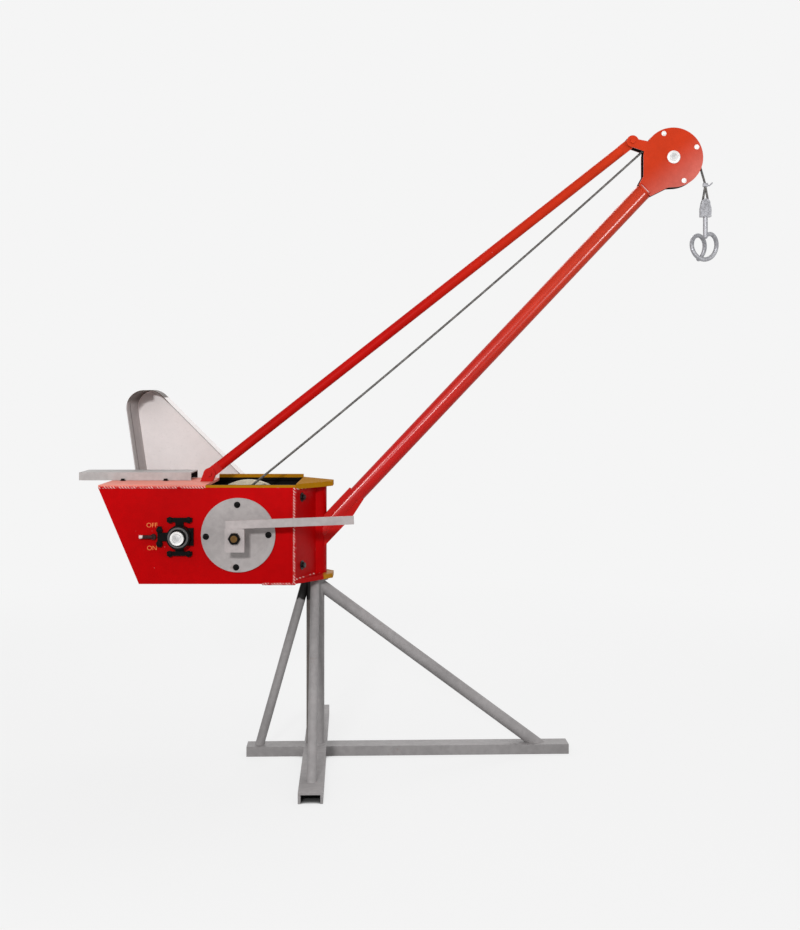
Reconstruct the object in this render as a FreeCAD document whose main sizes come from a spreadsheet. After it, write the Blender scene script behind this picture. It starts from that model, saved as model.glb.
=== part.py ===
import FreeCAD, Part
import os
import re
import Sketcher

"""Portable builder's jib crane: a cross base with a strutted mast, and a winch
box with boom, tie, head sheave and hoist rope that slews on the mast.

Frame: millimetres, +Z up, origin on the mast axis at the ground,
+X towards the boom head, -Y towards the side that carries the control lever.
"""

SIZES = [
    # Cross base of channels, webs upwards
    ("leg_width", 75.0, "width of a base channel"),
    ("leg_height", 32.0, "height of a base channel"),
    ("leg_web", 6.0, "thickness of a channel's web"),
    ("leg_flange", 8.0, "thickness of a channel's flanges"),
    ("long_leg_front", 852.0, "reach of the long leg in front of the mast"),
    ("long_leg_rear", 229.0, "reach of the long leg behind the mast"),
    ("side_leg_reach", 566.0, "reach of each side leg from the mast"),
    ("base_yaw", 2.0, "turn of the base under the jib in degrees"),
    # Mast
    ("post_radius", 30.15, "outer radius of the mast post"),
    ("post_wall", 5.0, "wall of the mast post"),
    ("post_headroom", 10.0, "gap between the post's top and the bow's top plate"),
    ("head_flange_radius", 43.0, "radius of the flange that carries the winch box"),
    ("head_flange_thickness", 10.0, "thickness of that flange"),
    ("slew_clearance", 0.05, "running clearance of the slewing sleeve on the post"),
    # Mast struts
    ("front_strut_radius", 20.0, "outer radius of the front strut"),
    ("strut_radius", 15.0, "outer radius of the rear and side struts"),
    ("strut_wall", 3.0, "wall of every strut"),
    ("front_strut_foot", 742.0, "front strut foot from the mast axis"),
    ("front_strut_rise", 581.0, "height where the front strut's line meets the mast axis"),
    ("rear_strut_foot", 187.0, "rear strut foot from the mast axis"),
    ("side_strut_foot", 445.0, "side strut foot from the mast axis"),
    ("strut_top_reach", 30.0, "strut centre from the mast axis under the flange"),
    # Winch box
    ("box_bottom", 596.0, "underside of the winch box above ground"),
    ("side_height", 312.0, "height of the side plates"),
    ("box_half_width", 185.0, "outer face of each side plate from the middle"),
    ("plate_thickness", 6.0, "thickness of the box plates"),
    ("box_front", 52.0, "front edge of the side plates behind the mast axis"),
    ("box_rear_top", 692.0, "rear top corner behind the mast axis"),
    ("box_rear_bottom", 560.0, "rear bottom corner behind the mast axis"),
    ("deck_thickness", 8.0, "thickness of the deck and its rims"),
    ("opening_rear", 345.0, "rear edge of the deck opening behind the mast axis"),
    ("rim_width", 22.0, "width of the rims beside the opening"),
    ("far_rim_upstand", 13.0, "height of the far rim above the deck"),
    # Bow between the box and the slewing sleeve
    ("sleeve_radius", 38.0, "outer radius of the slewing sleeve"),
    ("bow_nose", 3.0, "front edge of the bow plates in front of the mast axis"),
    ("bow_top_thickness", 16.0, "thickness of the bow's top plate"),
    ("bow_bottom_thickness", 15.0, "thickness of the bow's bottom plate"),
    ("bow_top_rise", 3.0, "top plate above the deck"),
    ("bow_tip", 60.0, "tip of the bow's top and bottom plates in front of the axis"),
    ("bow_tip_half_width", 36.0, "half width of that tip"),
    # Motor platform, a channel with its web upwards
    ("platform_rear", 806.0, "rear end of the platform behind the mast axis"),
    ("platform_length", 381.0, "length of the platform"),
    ("platform_near", 40.0, "near edge of the platform from the middle"),
    ("platform_width", 155.0, "width of the platform"),
    ("platform_height", 27.0, "height of the platform"),
    ("platform_wall", 5.0, "wall of the platform"),
    # Drum on its axle
    ("drum_back", 238.0, "drum axis behind the mast axis"),
    ("drum_height", 755.0, "drum axis above ground"),
    ("flange_radius", 158.0, "radius of the drum flanges"),
    ("flange_thickness", 12.0, "thickness of the near drum flange"),
    ("friction_rim_width", 40.0, "width of the far flange, which is the friction rim"),
    ("barrel_wall", 8.0, "wall of the drum's barrel"),
    ("barrel_radius", 70.0, "radius of the drum barrel"),
    ("barrel_half_length", 98.0, "half the length of the barrel between flanges"),
    ("winding_radius", 95.0, "outer radius of the wound rope"),
    ("axle_radius", 18.0, "radius of the drum axle"),
    ("axle_hole_radius", 29.0, "radius of the side plates' holes for the drum axle"),
    ("drum_end_gap", 5.0, "gap between the drum's hubs and the side plates"),
    ("running_clearance", 0.05, "radial clearance of every running fit"),
    ("cover_radius", 120.0, "radius of the drum bearing covers"),
    ("cover_thickness", 8.0, "thickness of the drum bearing covers"),
    # Control lever on the drum axle
    ("lever_gap", 84.0, "lever behind face from the near cover"),
    ("lever_thickness", 12.0, "thickness of the lever bar"),
    ("lever_hub_width", 62.0, "width of the lever's square hub"),
    ("lever_hub_height", 74.0, "height of the lever's square hub"),
    ("lever_hub_drop", 7.0, "hub centre below the axle"),
    ("lever_hub_thickness", 16.0, "thickness of the hub"),
    ("lever_bar_height", 26.0, "height of the lever bar"),
    ("lever_bar_rise", 43.0, "bar's centre above the axle"),
    ("lever_bar_back", 27.0, "bar's rear end behind the axle"),
    ("lever_length", 406.0, "length of the lever bar"),
    ("lever_tilt", 2.2, "rise of the bar in degrees"),
    ("axle_nut_flats", 34.0, "width across the flats of the axle nut"),
    ("axle_nut_height", 14.0, "height of the axle nut"),
    ("axle_stud_radius", 10.8, "radius of the axle's thread"),
    ("axle_stud_end", 2.0, "thread's end beyond the nut"),
    # Countershaft and belt pulley
    ("counter_back", 427.0, "countershaft axis behind the mast axis"),
    ("counter_height", 750.0, "countershaft axis above ground"),
    ("counter_radius", 14.0, "radius of the countershaft"),
    ("counter_hole_radius", 20.0, "radius of the side plates' holes for that shaft"),
    ("bearing_base", 14.0, "thickness of a countershaft bearing's feet"),
    ("bearing_hub_radius", 38.0, "radius of the bearing hub"),
    ("bearing_hub_length", 44.0, "bearing hub from the side plate"),
    ("bearing_foot_reach", 61.0, "top and bottom feet from the bearing axis"),
    ("bearing_foot_width", 81.0, "width of the top and bottom feet"),
    ("bearing_rear_reach", 71.0, "rear foot from the bearing axis"),
    ("bearing_rear_width", 66.0, "width of the rear foot"),
    ("bearing_front_width", 56.0, "width of the front lug"),
    ("bearing_bar", 13.0, "thickness of the feet's cross bars"),
    ("bearing_stem", 26.0, "width of the feet's stems"),
    ("bearing_front_reach", 45.0, "front lug from the bearing axis"),
    ("shaft_collar_radius", 22.0, "radius of the collar on the near shaft end"),
    ("shaft_collar_length", 16.0, "length of that collar"),
    ("shaft_collar_gap", 7.0, "gap between that collar and the bearing hub"),
    ("roller_radius", 25.0, "radius of the friction roller"),
    ("roller_length", 52.0, "length of the friction roller"),
    ("pulley_radius", 150.0, "radius of the belt pulley"),
    ("pulley_width", 50.0, "width of the belt pulley"),
    ("pulley_groove_depth", 13.0, "depth of the belt grooves"),
    ("pulley_groove_width", 16.0, "width of a belt groove at the rim"),
    ("pulley_hub_radius", 34.0, "radius of the pulley hub"),
    ("pulley_rim", 16.0, "thickness of the pulley's rim under its grooves"),
    ("pulley_web", 10.0, "thickness of the pulley's web"),
    ("pulley_end_gap", 24.0, "gap between the pulley and the guard's back"),
    # Belt guard, a pan open to the near side
    ("guard_top_back", 615.0, "centre of the guard's small arc behind the mast axis"),
    ("guard_top_height", 1160.0, "height of the centre of the guard's small arc"),
    ("guard_top_radius", 62.0, "radius of the guard's small arc"),
    ("guard_low_back", 418.0, "centre of the guard's large arc behind the mast axis"),
    ("guard_low_height", 767.0, "height of the centre of the guard's large arc"),
    ("guard_low_radius", 200.0, "radius of the guard's large arc"),
    ("guard_wall", 3.0, "wall of the belt guard"),
    ("guard_depth", 100.0, "depth of the guard's pan"),
    ("guard_lip_depth", 107.0, "depth of the lip in front of the pan"),
    ("guard_standoff", 15.0, "front of the lip from the far side plate"),
    ("guard_lip_bottom", 923.0, "lower end of the lip above ground"),
    ("standoff_radius", 9.0, "radius of the rods that carry the guard"),
    ("rod_circle", 185.0, "radius of the circle on which the rods stand"),
    ("low_rod_angle", 50.0, "lower rods below the circle's level diameter in degrees"),
    ("top_rod_angle", 38.0, "top rod above that diameter in degrees"),
    # Boom
    ("boom_radius", 27.5, "outer radius of the boom tube"),
    ("boom_wall", 4.0, "wall of the boom tube"),
    ("boom_root_height", 724.5, "height where the boom's line meets the mast axis"),
    ("boom_to_axle", 146.0, "upper end of the boom short of the head axle"),
    ("boom_drop", 9.5, "boom's line below the head axle"),
    ("boom_cap", 6.0, "thickness of the boom's end cap"),
    ("shoe_thickness", 8.0, "thickness of the boom's foot cheeks"),
    ("shoe_length", 208.0, "length of the foot cheeks' lower side along the boom"),
    ("shoe_heel", 141.0, "straight lower edge of the foot cheeks along the boom"),
    ("shoe_bevel", 6.0, "foot cheek's upper corner short of its lower one"),
    ("shoe_gap", 28.0, "gap between the foot cheeks"),
    ("shoe_above", 33.0, "foot cheek's upper edge above the boom's line"),
    ("shoe_below", 40.0, "foot cheek's lower edge below the boom's line"),
    # Head with its sheave
    ("head_reach", 1201.0, "head axle in front of the mast axis"),
    ("head_height", 2003.0, "head axle above ground"),
    ("cheek_radius", 100.0, "radius of the head cheeks"),
    ("cheek_thickness", 6.0, "thickness of the head cheeks"),
    ("cheek_gap", 40.0, "gap between the head cheeks"),
    ("sheave_pitch", 84.0, "radius of the rope's line round the sheave"),
    ("sheave_rim", 90.0, "outer radius of the sheave"),
    ("sheave_width", 28.0, "width of the sheave"),
    ("sheave_web", 10.0, "thickness of the sheave's web"),
    ("sheave_hub", 32.0, "radius of the sheave's hub"),
    ("groove_half_width", 4.8, "half the width of the rope groove's floor"),
    ("head_axle_radius", 15.0, "radius of the head axle"),
    ("axle_cap_radius", 21.5, "radius of the head axle's caps"),
    ("axle_cap_height", 8.0, "height of the head axle's caps"),
    # Tie
    ("tie_radius", 17.0, "outer radius of the tie tube"),
    ("tie_wall", 3.0, "wall of the tie tube"),
    ("tie_head_back", 136.0, "tie's upper pin behind the head axle"),
    ("tie_head_rise", 54.0, "tie's upper pin above the head axle"),
    ("tie_foot_back", 356.0, "tie's lower pin behind the mast axis"),
    ("tie_foot_rise", 25.0, "tie's lower pin above the deck"),
    ("tie_eye_reach", 45.0, "tube's end from each pin"),
    ("tie_eye_thickness", 12.0, "thickness of the tie's eyes"),
    ("tie_eye_radius", 17.0, "radius of the tie's eyes"),
    ("tie_pin_radius", 8.0, "radius of the tie's pins"),
    ("tie_lug_radius", 20.0, "radius of the lugs round the tie's pins"),
    ("tie_lug_gap", 2.0, "gap between the tie's lower eye and its lugs"),
    # Hoist rope and hook
    ("rope_radius", 4.0, "radius of the hoist rope"),
    ("rope_clearance", 0.3, "gap between the rope and what turns under it"),
    ("rope_eye_radius", 10.0, "radius of the rope's eye"),
    ("hook_pin_drop", 150.0, "hook pin below the head axle"),
    ("fall_lean", 16.0, "lean of the rope's fall from upright in degrees"),
    ("eye_height", 61.0, "top of the rope's eye above the hook pin"),
    ("clip_height", 12.0, "height of the rope clip"),
    ("clip_depth", 14.0, "depth of the rope clip"),
    ("clip_width", 16.0, "width of the rope clip"),
    ("hook_ear_gap", 12.0, "gap between the hook's ears"),
    ("hook_ear_thickness", 7.0, "thickness of the hook's ears"),
    ("hook_ear_radius", 14.0, "radius of the hook's ears"),
    ("pin_stand_out", 3.0, "hook pin beyond the hook's ears"),
    ("hook_block_drop", 19.0, "top of the hook's block below its pin"),
    ("hook_block_height", 28.0, "height of the hook's block"),
    ("hook_block_width", 36.0, "width of the hook's block"),
    ("shank_radius", 8.0, "radius of the hook's shank"),
    ("shank_length", 55.0, "hook's shank under its block"),
    ("coil_radius", 42.0, "radius of the hook's coil to the middle of the rod"),
    ("coil_rod_radius", 7.5, "radius of the hook's rod"),
    ("coil_knuckle_radius", 8.5, "radius of the ball at each end of the coil"),
    ("coil_pitch", 57.0, "advance of the hook's coil per turn"),
    ("coil_turns", 1.52, "turns of the hook's coil"),
    ("coil_start", 41.0, "coil's start before its top in degrees"),
    ("coil_yaw", 31.0, "yaw of the hook's coil in degrees"),
    # Selector stub on the near side plate
    ("stub_back", 534.0, "middle of the selector stub behind the mast axis"),
    ("stub_length", 44.0, "length of the selector rod"),
    ("stub_radius", 6.0, "radius of the selector rod"),
    ("stub_boss_radius", 9.0, "radius of the selector's boss"),
    ("stub_standoff", 16.0, "selector rod's axis from the side plate"),
]

doc = FreeCAD.newDocument("JibCrane")
sheet = doc.addObject("Spreadsheet::Sheet", "Sizes")
for row, (alias, value, meaning) in enumerate(SIZES, start=1):
    sheet.set("A%d" % row, meaning)
    sheet.set("B%d" % row, str(value))
    sheet.setAlias("B%d" % row, alias)
doc.recompute()

SIZE_NAME = re.compile(r"[a-z]+(?:_[a-z]+)+")
NODES = []

AXIS_X = FreeCAD.Vector(1, 0, 0)
AXIS_Y = FreeCAD.Vector(0, 1, 0)
AXIS_Z = FreeCAD.Vector(0, 0, 1)


def cells(text):
    """Expression text in which every size name points at its cell of the sheet."""
    return SIZE_NAME.sub(lambda found: "Sizes." + found.group(0), str(text))


def number(text):
    """Value of an expression, for the first drawing of a sketch."""
    value = sheet.evalExpression(cells(text))
    return float(getattr(value, "Value", value))


def bind(item, **sizes):
    """Bind properties of an object to expressions of the named sizes."""
    for name, text in sizes.items():
        item.setExpression(name, cells(text))
    return item


def place(item, x=0, y=0, z=0, axis=None, angle=None):
    """Bind an object's place, and its turn about one axis if it has one."""
    if axis is not None:
        item.Placement = FreeCAD.Placement(FreeCAD.Vector(), FreeCAD.Rotation(axis, 1.0))
        item.setExpression("Placement.Rotation.Angle", cells(angle))
    for name, text in (("x", x), ("y", y), ("z", z)):
        item.setExpression("Placement.Base." + name, cells(text))
    return item


def node(item):
    """Hand an object in as a finished piece under its Label."""
    NODES.append(item)
    return item


def cylinder(label, radius, length, **where):
    """Round bar that starts at its place and runs along its own Z axis."""
    item = doc.addObject("Part::Cylinder", label)
    bind(item, Radius=radius, Height=length)
    return place(item, **where)


def cross_bar(label, radius, near, far, x, z):
    """Round bar along Y from the near to the far position."""
    length = "(%s) - (%s)" % (far, near)
    return cylinder(label, radius, length, x=x, y=far, z=z, axis=AXIS_X, angle="90")


def block(label, width, depth, height, x=0, y=0, z=0):
    """Rectangular block from its lowest corner."""
    item = doc.addObject("Part::Box", label)
    bind(item, Length=width, Width=depth, Height=height)
    return place(item, x=x, y=y, z=z)


def ball(label, radius, x=0, y=0, z=0):
    item = doc.addObject("Part::Sphere", label)
    bind(item, Radius=radius)
    return place(item, x=x, y=y, z=z)


def removed(label, base, tool):
    """The base less the tool."""
    item = doc.addObject("Part::Cut", label)
    item.Base = base
    item.Tool = tool
    return item


def kept(label, base, tool):
    """The part of the base that lies inside the tool."""
    item = doc.addObject("Part::Common", label)
    item.Base = base
    item.Tool = tool
    return item


def joined(label, *pieces):
    """Pieces welded into one solid."""
    item = doc.addObject("Part::MultiFuse", label)
    item.Shapes = list(pieces)
    return item


def grouped(label, *pieces):
    """Like pieces that share a node and don't touch."""
    item = doc.addObject("Part::Compound", label)
    item.Links = list(pieces)
    return item


def about_mast(label, *pieces):
    """Pieces of the base, turned together about the mast."""
    return place(grouped(label, *pieces), axis=AXIS_Z, angle="base_yaw")


def tube(label, radius, wall, length, **where):
    """Round tube along its own Z axis."""
    outer = cylinder(label + "_outer", radius, length, **where)
    inner = cylinder(label + "_bore", "(%s) - (%s)" % (radius, wall), length, **where)
    return removed(label, outer, inner)


def origin_plane(body, role):
    for feature in body.Origin.OriginFeatures:
        if feature.Role == role:
            return feature
    raise ValueError(role)


def add_outline(sketch, points):
    """Closed outline whose every corner is bound to a pair of expressions."""
    corners = [(number(x), number(y)) for x, y in points]
    count = len(corners)
    first = sketch.GeometryCount
    for index in range(count):
        here = FreeCAD.Vector(*corners[index], 0)
        there = FreeCAD.Vector(*corners[(index + 1) % count], 0)
        sketch.addGeometry(Part.LineSegment(here, there), False)
    for index in range(count):
        after = first + (index + 1) % count
        sketch.addConstraint(Sketcher.Constraint("Coincident", first + index, 2, after, 1))
    for index, (x, y) in enumerate(points):
        for kind, text, value in (("DistanceX", x, corners[index][0]),
                                  ("DistanceY", y, corners[index][1])):
            line = first + index
            number_of = sketch.addConstraint(Sketcher.Constraint(kind, -1, 1, line, 1, value))
            sketch.setExpression("Constraints[%d]" % number_of, cells(text))


def add_circle(sketch, x, y, radius):
    """Circle whose centre and radius are bound to expressions."""
    centre = FreeCAD.Vector(number(x), number(y), 0)
    index = sketch.GeometryCount
    sketch.addGeometry(Part.Circle(centre, AXIS_Z, number(radius)), False)
    for kind, text, value in (("DistanceX", x, centre.x), ("DistanceY", y, centre.y)):
        number_of = sketch.addConstraint(Sketcher.Constraint(kind, -1, 1, index, 3, value))
        sketch.setExpression("Constraints[%d]" % number_of, cells(text))
    number_of = sketch.addConstraint(Sketcher.Constraint("Radius", index, number(radius)))
    sketch.setExpression("Constraints[%d]" % number_of, cells(radius))


def new_sketch(body, name, role):
    sketch = body.newObject("Sketcher::SketchObject", name)
    sketch.AttachmentSupport = [(origin_plane(body, role), "")]
    sketch.MapMode = "FlatFace"
    return sketch


def plate(label, role, thickness, outlines, holes=(), **where):
    """Plate padded from one or more outlines, with round holes.

    An outline is a list of corners or a circle (x, y, radius). A pad leaves
    the XZ plane towards -Y, the XY plane towards +Z and the YZ plane towards +X.
    """
    body = doc.addObject("PartDesign::Body", label)
    for index, outline in enumerate(outlines):
        sketch = new_sketch(body, "%s_outline_%d" % (label, index), role)
        if isinstance(outline, tuple):
            add_circle(sketch, *outline)
        else:
            add_outline(sketch, outline)
        pad = body.newObject("PartDesign::Pad", "%s_pad_%d" % (label, index))
        pad.Profile = sketch
        bind(pad, Length=thickness)
    if holes:
        sketch = new_sketch(body, label + "_holes", role)
        for hole in holes:
            add_circle(sketch, *hole)
        pocket = body.newObject("PartDesign::Pocket", label + "_pocket")
        pocket.Profile = sketch
        pocket.Type = "ThroughAll"
        pocket.Midplane = True
    return place(body, **where)


def turned(label, profile, **where):
    """Piece turned about an axis along Y; the profile gives radius and Y."""
    body = doc.addObject("PartDesign::Body", label)
    sketch = new_sketch(body, label + "_profile", "XY_Plane")
    add_outline(sketch, profile)
    turn = body.newObject("PartDesign::Revolution", label + "_turn")
    turn.Profile = sketch
    turn.ReferenceAxis = (sketch, ["V_Axis"])
    turn.Angle = 360.0
    return place(body, **where)


def ring(label, radius, bore, near, far, **where):
    """Plain ring about an axis along Y."""
    profile = [(bore, near), (radius, near), (radius, far), (bore, far)]
    return turned(label, profile, **where)


# Heights and lines that several pieces share
SIDE_TOP = "(box_bottom + side_height)"
DECK_TOP = "(box_bottom + side_height + deck_thickness)"
BOOM_RISE = "(head_height - boom_drop - boom_root_height)"
BOOM_ANGLE = "atan2(%s; head_reach)" % BOOM_RISE
BOOM_END = "(sqrt(head_reach^2 + %s^2) - boom_to_axle)" % BOOM_RISE
TIE_FOOT_HEIGHT = "(%s + tie_foot_rise)" % DECK_TOP
TIE_RUN = "(head_reach - tie_head_back + tie_foot_back)"
TIE_RISE = "(head_height + tie_head_rise - %s)" % TIE_FOOT_HEIGHT
TIE_ANGLE = "atan2(%s; %s)" % (TIE_RISE, TIE_RUN)
TIE_LENGTH = "sqrt(%s^2 + %s^2)" % (TIE_RUN, TIE_RISE)
ROPE_AT_DRUM = "(winding_radius + rope_clearance + rope_radius)"
ROPE_RUN = "(head_reach + drum_back)"
ROPE_RISE = "(head_height - drum_height)"
ROPE_SPAN = "sqrt(%s^2 + %s^2)" % (ROPE_RUN, ROPE_RISE)
ROPE_TURN = "asin((sheave_pitch - %s) / %s)" % (ROPE_AT_DRUM, ROPE_SPAN)
ROPE_ANGLE = "(atan2(%s; %s) + %s)" % (ROPE_RISE, ROPE_RUN, ROPE_TURN)
HOOK_HEIGHT = "(head_height - hook_pin_drop)"
FALL_DROP = "(hook_pin_drop - eye_height + sheave_pitch * sin(fall_lean))"
HOOK_X = "(head_reach + sheave_pitch * cos(fall_lean) + %s * tan(fall_lean))" % FALL_DROP
SHANK_DROP = "(shank_length + coil_radius * (1 - cos(coil_start)))"
GUARD_FRONT = "(box_half_width + guard_standoff)"
GUARD_SEAM = "(box_half_width + guard_standoff + guard_lip_depth)"
GUARD_BACK = "(box_half_width + guard_standoff + guard_lip_depth + guard_depth)"
PULLEY_FAR = "(%s - guard_wall - pulley_end_gap)" % GUARD_BACK
COVER_FACE = "(box_half_width + cover_thickness)"
LEVER_BACK = "(box_half_width + cover_thickness + lever_gap)"


def make_base():
    """Long leg and two side legs: channels with their webs upwards."""
    half = "leg_width / 2"
    inner = "leg_width / 2 - leg_flange"
    under_web = "leg_height - leg_web"
    section = [("-(%s)" % half, 0), ("-(%s)" % inner, 0), ("-(%s)" % inner, under_web),
               (inner, under_web), (inner, 0), (half, 0),
               (half, "leg_height"), ("-(%s)" % half, "leg_height")]
    channel = plate("long_channel", "YZ_Plane", "long_leg_front + long_leg_rear", [section],
                    x="-long_leg_rear")
    node(about_mast("long_leg", channel))
    length = "side_leg_reach - leg_width / 2"
    near = plate("near_leg", "XZ_Plane", length, [section], y="-leg_width / 2")
    far = plate("far_leg", "XZ_Plane", length, [section], y="side_leg_reach")
    node(about_mast("side_legs", near, far))


def make_mast():
    """Post with the flange that carries the winch box."""
    top = "box_bottom + side_height + deck_thickness + bow_top_rise"
    top += " - bow_top_thickness - post_headroom"
    node(tube("mast_post", "post_radius", "post_wall", "%s - leg_height" % top, z="leg_height"))
    flange_bottom = "box_bottom - head_flange_thickness"
    disc = cylinder("mast_flange_disc", "head_flange_radius", "head_flange_thickness",
                    z=flange_bottom)
    bore = cylinder("mast_flange_bore", "post_radius", "head_flange_thickness",
                    z=flange_bottom)
    node(removed("mast_flange", disc, bore))


def make_strut(label, side, radius, foot, top_reach, top_height):
    """Raking tube from a leg to the mast, coped to the post.

    side is the direction (x, y) in which the strut's foot lies.
    """
    spare = "(4 * %s)" % radius
    run = "(%s - %s)" % (foot, top_reach)
    rise = "(%s - leg_height)" % top_height
    length = "sqrt(%s^2 + %s^2)" % (run, rise)
    low_reach = "(%s + %s * %s / %s)" % (foot, spare, run, length)
    where = {
        "x": "%d * %s" % (side[0], low_reach),
        "y": "%d * %s" % (side[1], low_reach),
        "z": "leg_height - %s * %s / %s" % (spare, rise, length),
        "axis": FreeCAD.Vector(-side[1], side[0], 0),
        "angle": "-atan2(%s; %s)" % (run, rise),
    }
    bar = tube(label + "_tube", radius, "strut_wall", "%s + 2 * %s" % (length, spare), **where)
    reach_x, reach_y = ("long_leg_front" if part else "2 * long_leg_front" for part in side)
    start_x, start_y = ("0" if part > 0 else "-long_leg_front" for part in side)
    slab = block(label + "_slab", reach_x, reach_y,
                 "box_bottom - head_flange_thickness - leg_height",
                 x=start_x, y=start_y, z="leg_height")
    trimmed = kept(label + "_trimmed", bar, slab)
    post = cylinder(label + "_cope", "post_radius", "box_bottom")
    return removed(label, trimmed, post)


def make_struts():
    front = make_strut("front_brace", (1, 0), "front_strut_radius", "front_strut_foot",
                       "0", "front_strut_rise")
    node(about_mast("front_strut", front))
    under_flange = "(box_bottom - head_flange_thickness)"
    rear = make_strut("rear_brace", (-1, 0), "strut_radius", "rear_strut_foot",
                      "strut_top_reach", under_flange)
    node(about_mast("rear_strut", rear))
    near = make_strut("near_brace", (0, -1), "strut_radius", "side_strut_foot",
                      "strut_top_reach", under_flange)
    far = make_strut("far_brace", (0, 1), "strut_radius", "side_strut_foot",
                     "strut_top_reach", under_flange)
    node(about_mast("side_struts", near, far))


def make_box():
    """Side plates, slanted rear plate, deck and the rims beside its opening."""
    outline = [("-box_rear_top", SIDE_TOP), ("-box_front", SIDE_TOP),
               ("-box_front", "box_bottom"), ("-box_rear_bottom", "box_bottom")]
    holes = [("-drum_back", "drum_height", "axle_hole_radius"),
             ("-counter_back", "counter_height", "counter_hole_radius")]
    node(plate("side_plate_near", "XZ_Plane", "plate_thickness", [outline], holes,
               y="plate_thickness - box_half_width"))
    node(plate("side_plate_far", "XZ_Plane", "plate_thickness", [outline], holes,
               y="box_half_width"))
    slant = "plate_thickness * sqrt(1 + ((box_rear_top - box_rear_bottom) / side_height)^2)"
    rear = [("-box_rear_top", SIDE_TOP), ("%s - box_rear_top" % slant, SIDE_TOP),
            ("%s - box_rear_bottom" % slant, "box_bottom"), ("-box_rear_bottom", "box_bottom")]
    node(plate("rear_plate", "XZ_Plane", "2 * (box_half_width - plate_thickness)", [rear],
               y="box_half_width - plate_thickness"))
    node(block("deck_plate", "box_rear_top - opening_rear", "2 * box_half_width",
               "deck_thickness", x="-box_rear_top", y="-box_half_width", z=SIDE_TOP))
    near = block("near_rim", "opening_rear - box_front", "rim_width", "deck_thickness",
                 x="-opening_rear", y="-box_half_width", z=SIDE_TOP)
    far = block("far_rim", "opening_rear - box_front", "rim_width",
                "deck_thickness + far_rim_upstand",
                x="-opening_rear", y="box_half_width - rim_width", z=SIDE_TOP)
    node(grouped("opening_rims", near, far))


def make_bow():
    """Plates that taper from the box to the slewing sleeve."""
    run = "(box_front + bow_nose)"
    rise = "(box_half_width - sleeve_radius)"
    length = "sqrt(%s^2 + %s^2)" % (run, rise)
    offset_x = "(plate_thickness * %s / %s)" % (length, rise)
    offset_y = "(plate_thickness * %s / %s)" % (length, run)
    bottom = "(box_bottom + bow_bottom_thickness)"
    top = "(%s + bow_top_rise - bow_top_thickness)" % DECK_TOP
    sides = []
    for label, sign in (("bow_near", "-"), ("bow_far", "")):
        outline = [("-box_front", sign + "box_half_width"),
                   ("bow_nose", sign + "sleeve_radius"),
                   ("bow_nose - %s" % offset_x, sign + "sleeve_radius"),
                   ("-box_front", "%s(box_half_width - %s)" % (sign, offset_y))]
        sides.append(plate(label, "XY_Plane", "%s - %s" % (top, bottom), [outline], z=bottom))
    node(grouped("bow_plates", *sides))
    flat = [("-box_front", "-box_half_width"), ("bow_tip", "-bow_tip_half_width"),
            ("bow_tip", "bow_tip_half_width"), ("-box_front", "box_half_width")]
    node(plate("bow_top_plate", "XY_Plane", "bow_top_thickness", [flat], z=top))
    bore = [(0, 0, "post_radius + slew_clearance")]
    node(plate("bow_bottom_plate", "XY_Plane", "bow_bottom_thickness", [flat], bore,
               z="box_bottom"))
    node(tube("slewing_sleeve", "sleeve_radius", "sleeve_radius - post_radius - slew_clearance",
              "%s - %s" % (top, bottom), z=bottom))


def make_platform():
    """Channel across the deck that carries the motor, its web upwards."""
    inner = "platform_wall"
    under_web = "platform_height - platform_wall"
    section = [(0, 0), (inner, 0), (inner, under_web),
               ("platform_width - platform_wall", under_web),
               ("platform_width - platform_wall", 0), ("platform_width", 0),
               ("platform_width", "platform_height"), (0, "platform_height")]
    node(plate("motor_platform", "YZ_Plane", "platform_length", [section],
               x="-platform_rear", y="platform_near", z=DECK_TOP))


def make_drum():
    """Rope drum with a plain flange and a wide friction rim, and its winding."""
    bore = "axle_radius + running_clearance"
    hub = "2 * axle_radius"
    end = "box_half_width - plate_thickness - drum_end_gap"
    where = {"x": "-drum_back", "z": "drum_height"}
    node(ring("drum_barrel", "barrel_radius", "barrel_radius - barrel_wall",
              "-barrel_half_length", "barrel_half_length", **where))
    flange_near = "-(barrel_half_length + flange_thickness)"
    flange = [(bore, "-barrel_half_length"), (bore, "-(%s)" % end), (hub, "-(%s)" % end),
              (hub, flange_near), ("flange_radius", flange_near),
              ("flange_radius", "-barrel_half_length")]
    node(turned("drum_flange", flange, **where))
    rim_far = "barrel_half_length + friction_rim_width"
    web_far = "barrel_half_length + flange_thickness"
    rim_inside = "flange_radius - flange_thickness"
    rim = [(bore, "barrel_half_length"), ("flange_radius", "barrel_half_length"),
           ("flange_radius", rim_far), (rim_inside, rim_far), (rim_inside, web_far),
           (hub, web_far), (hub, end), (bore, end)]
    node(turned("friction_rim", rim, **where))
    node(ring("wound_rope", "winding_radius", "barrel_radius", "-barrel_half_length",
              "barrel_half_length", **where))


def make_covers():
    """Bearing covers with bosses that carry the drum axle."""
    bore = "axle_radius + running_clearance"
    boss = "1.5 * axle_radius"
    covers = []
    for label, sign in (("cover_near", "-"), ("cover_far", "")):
        face = "%sbox_half_width" % sign
        outer = "%s%s" % (sign, COVER_FACE)
        boss_end = "%s(%s + axle_radius)" % (sign, COVER_FACE)
        profile = [(bore, face), ("cover_radius", face), ("cover_radius", outer),
                   (boss, outer), (boss, boss_end), (bore, boss_end)]
        covers.append(turned(label, profile, x="-drum_back", z="drum_height"))
    node(grouped("drum_covers", *covers))


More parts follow.
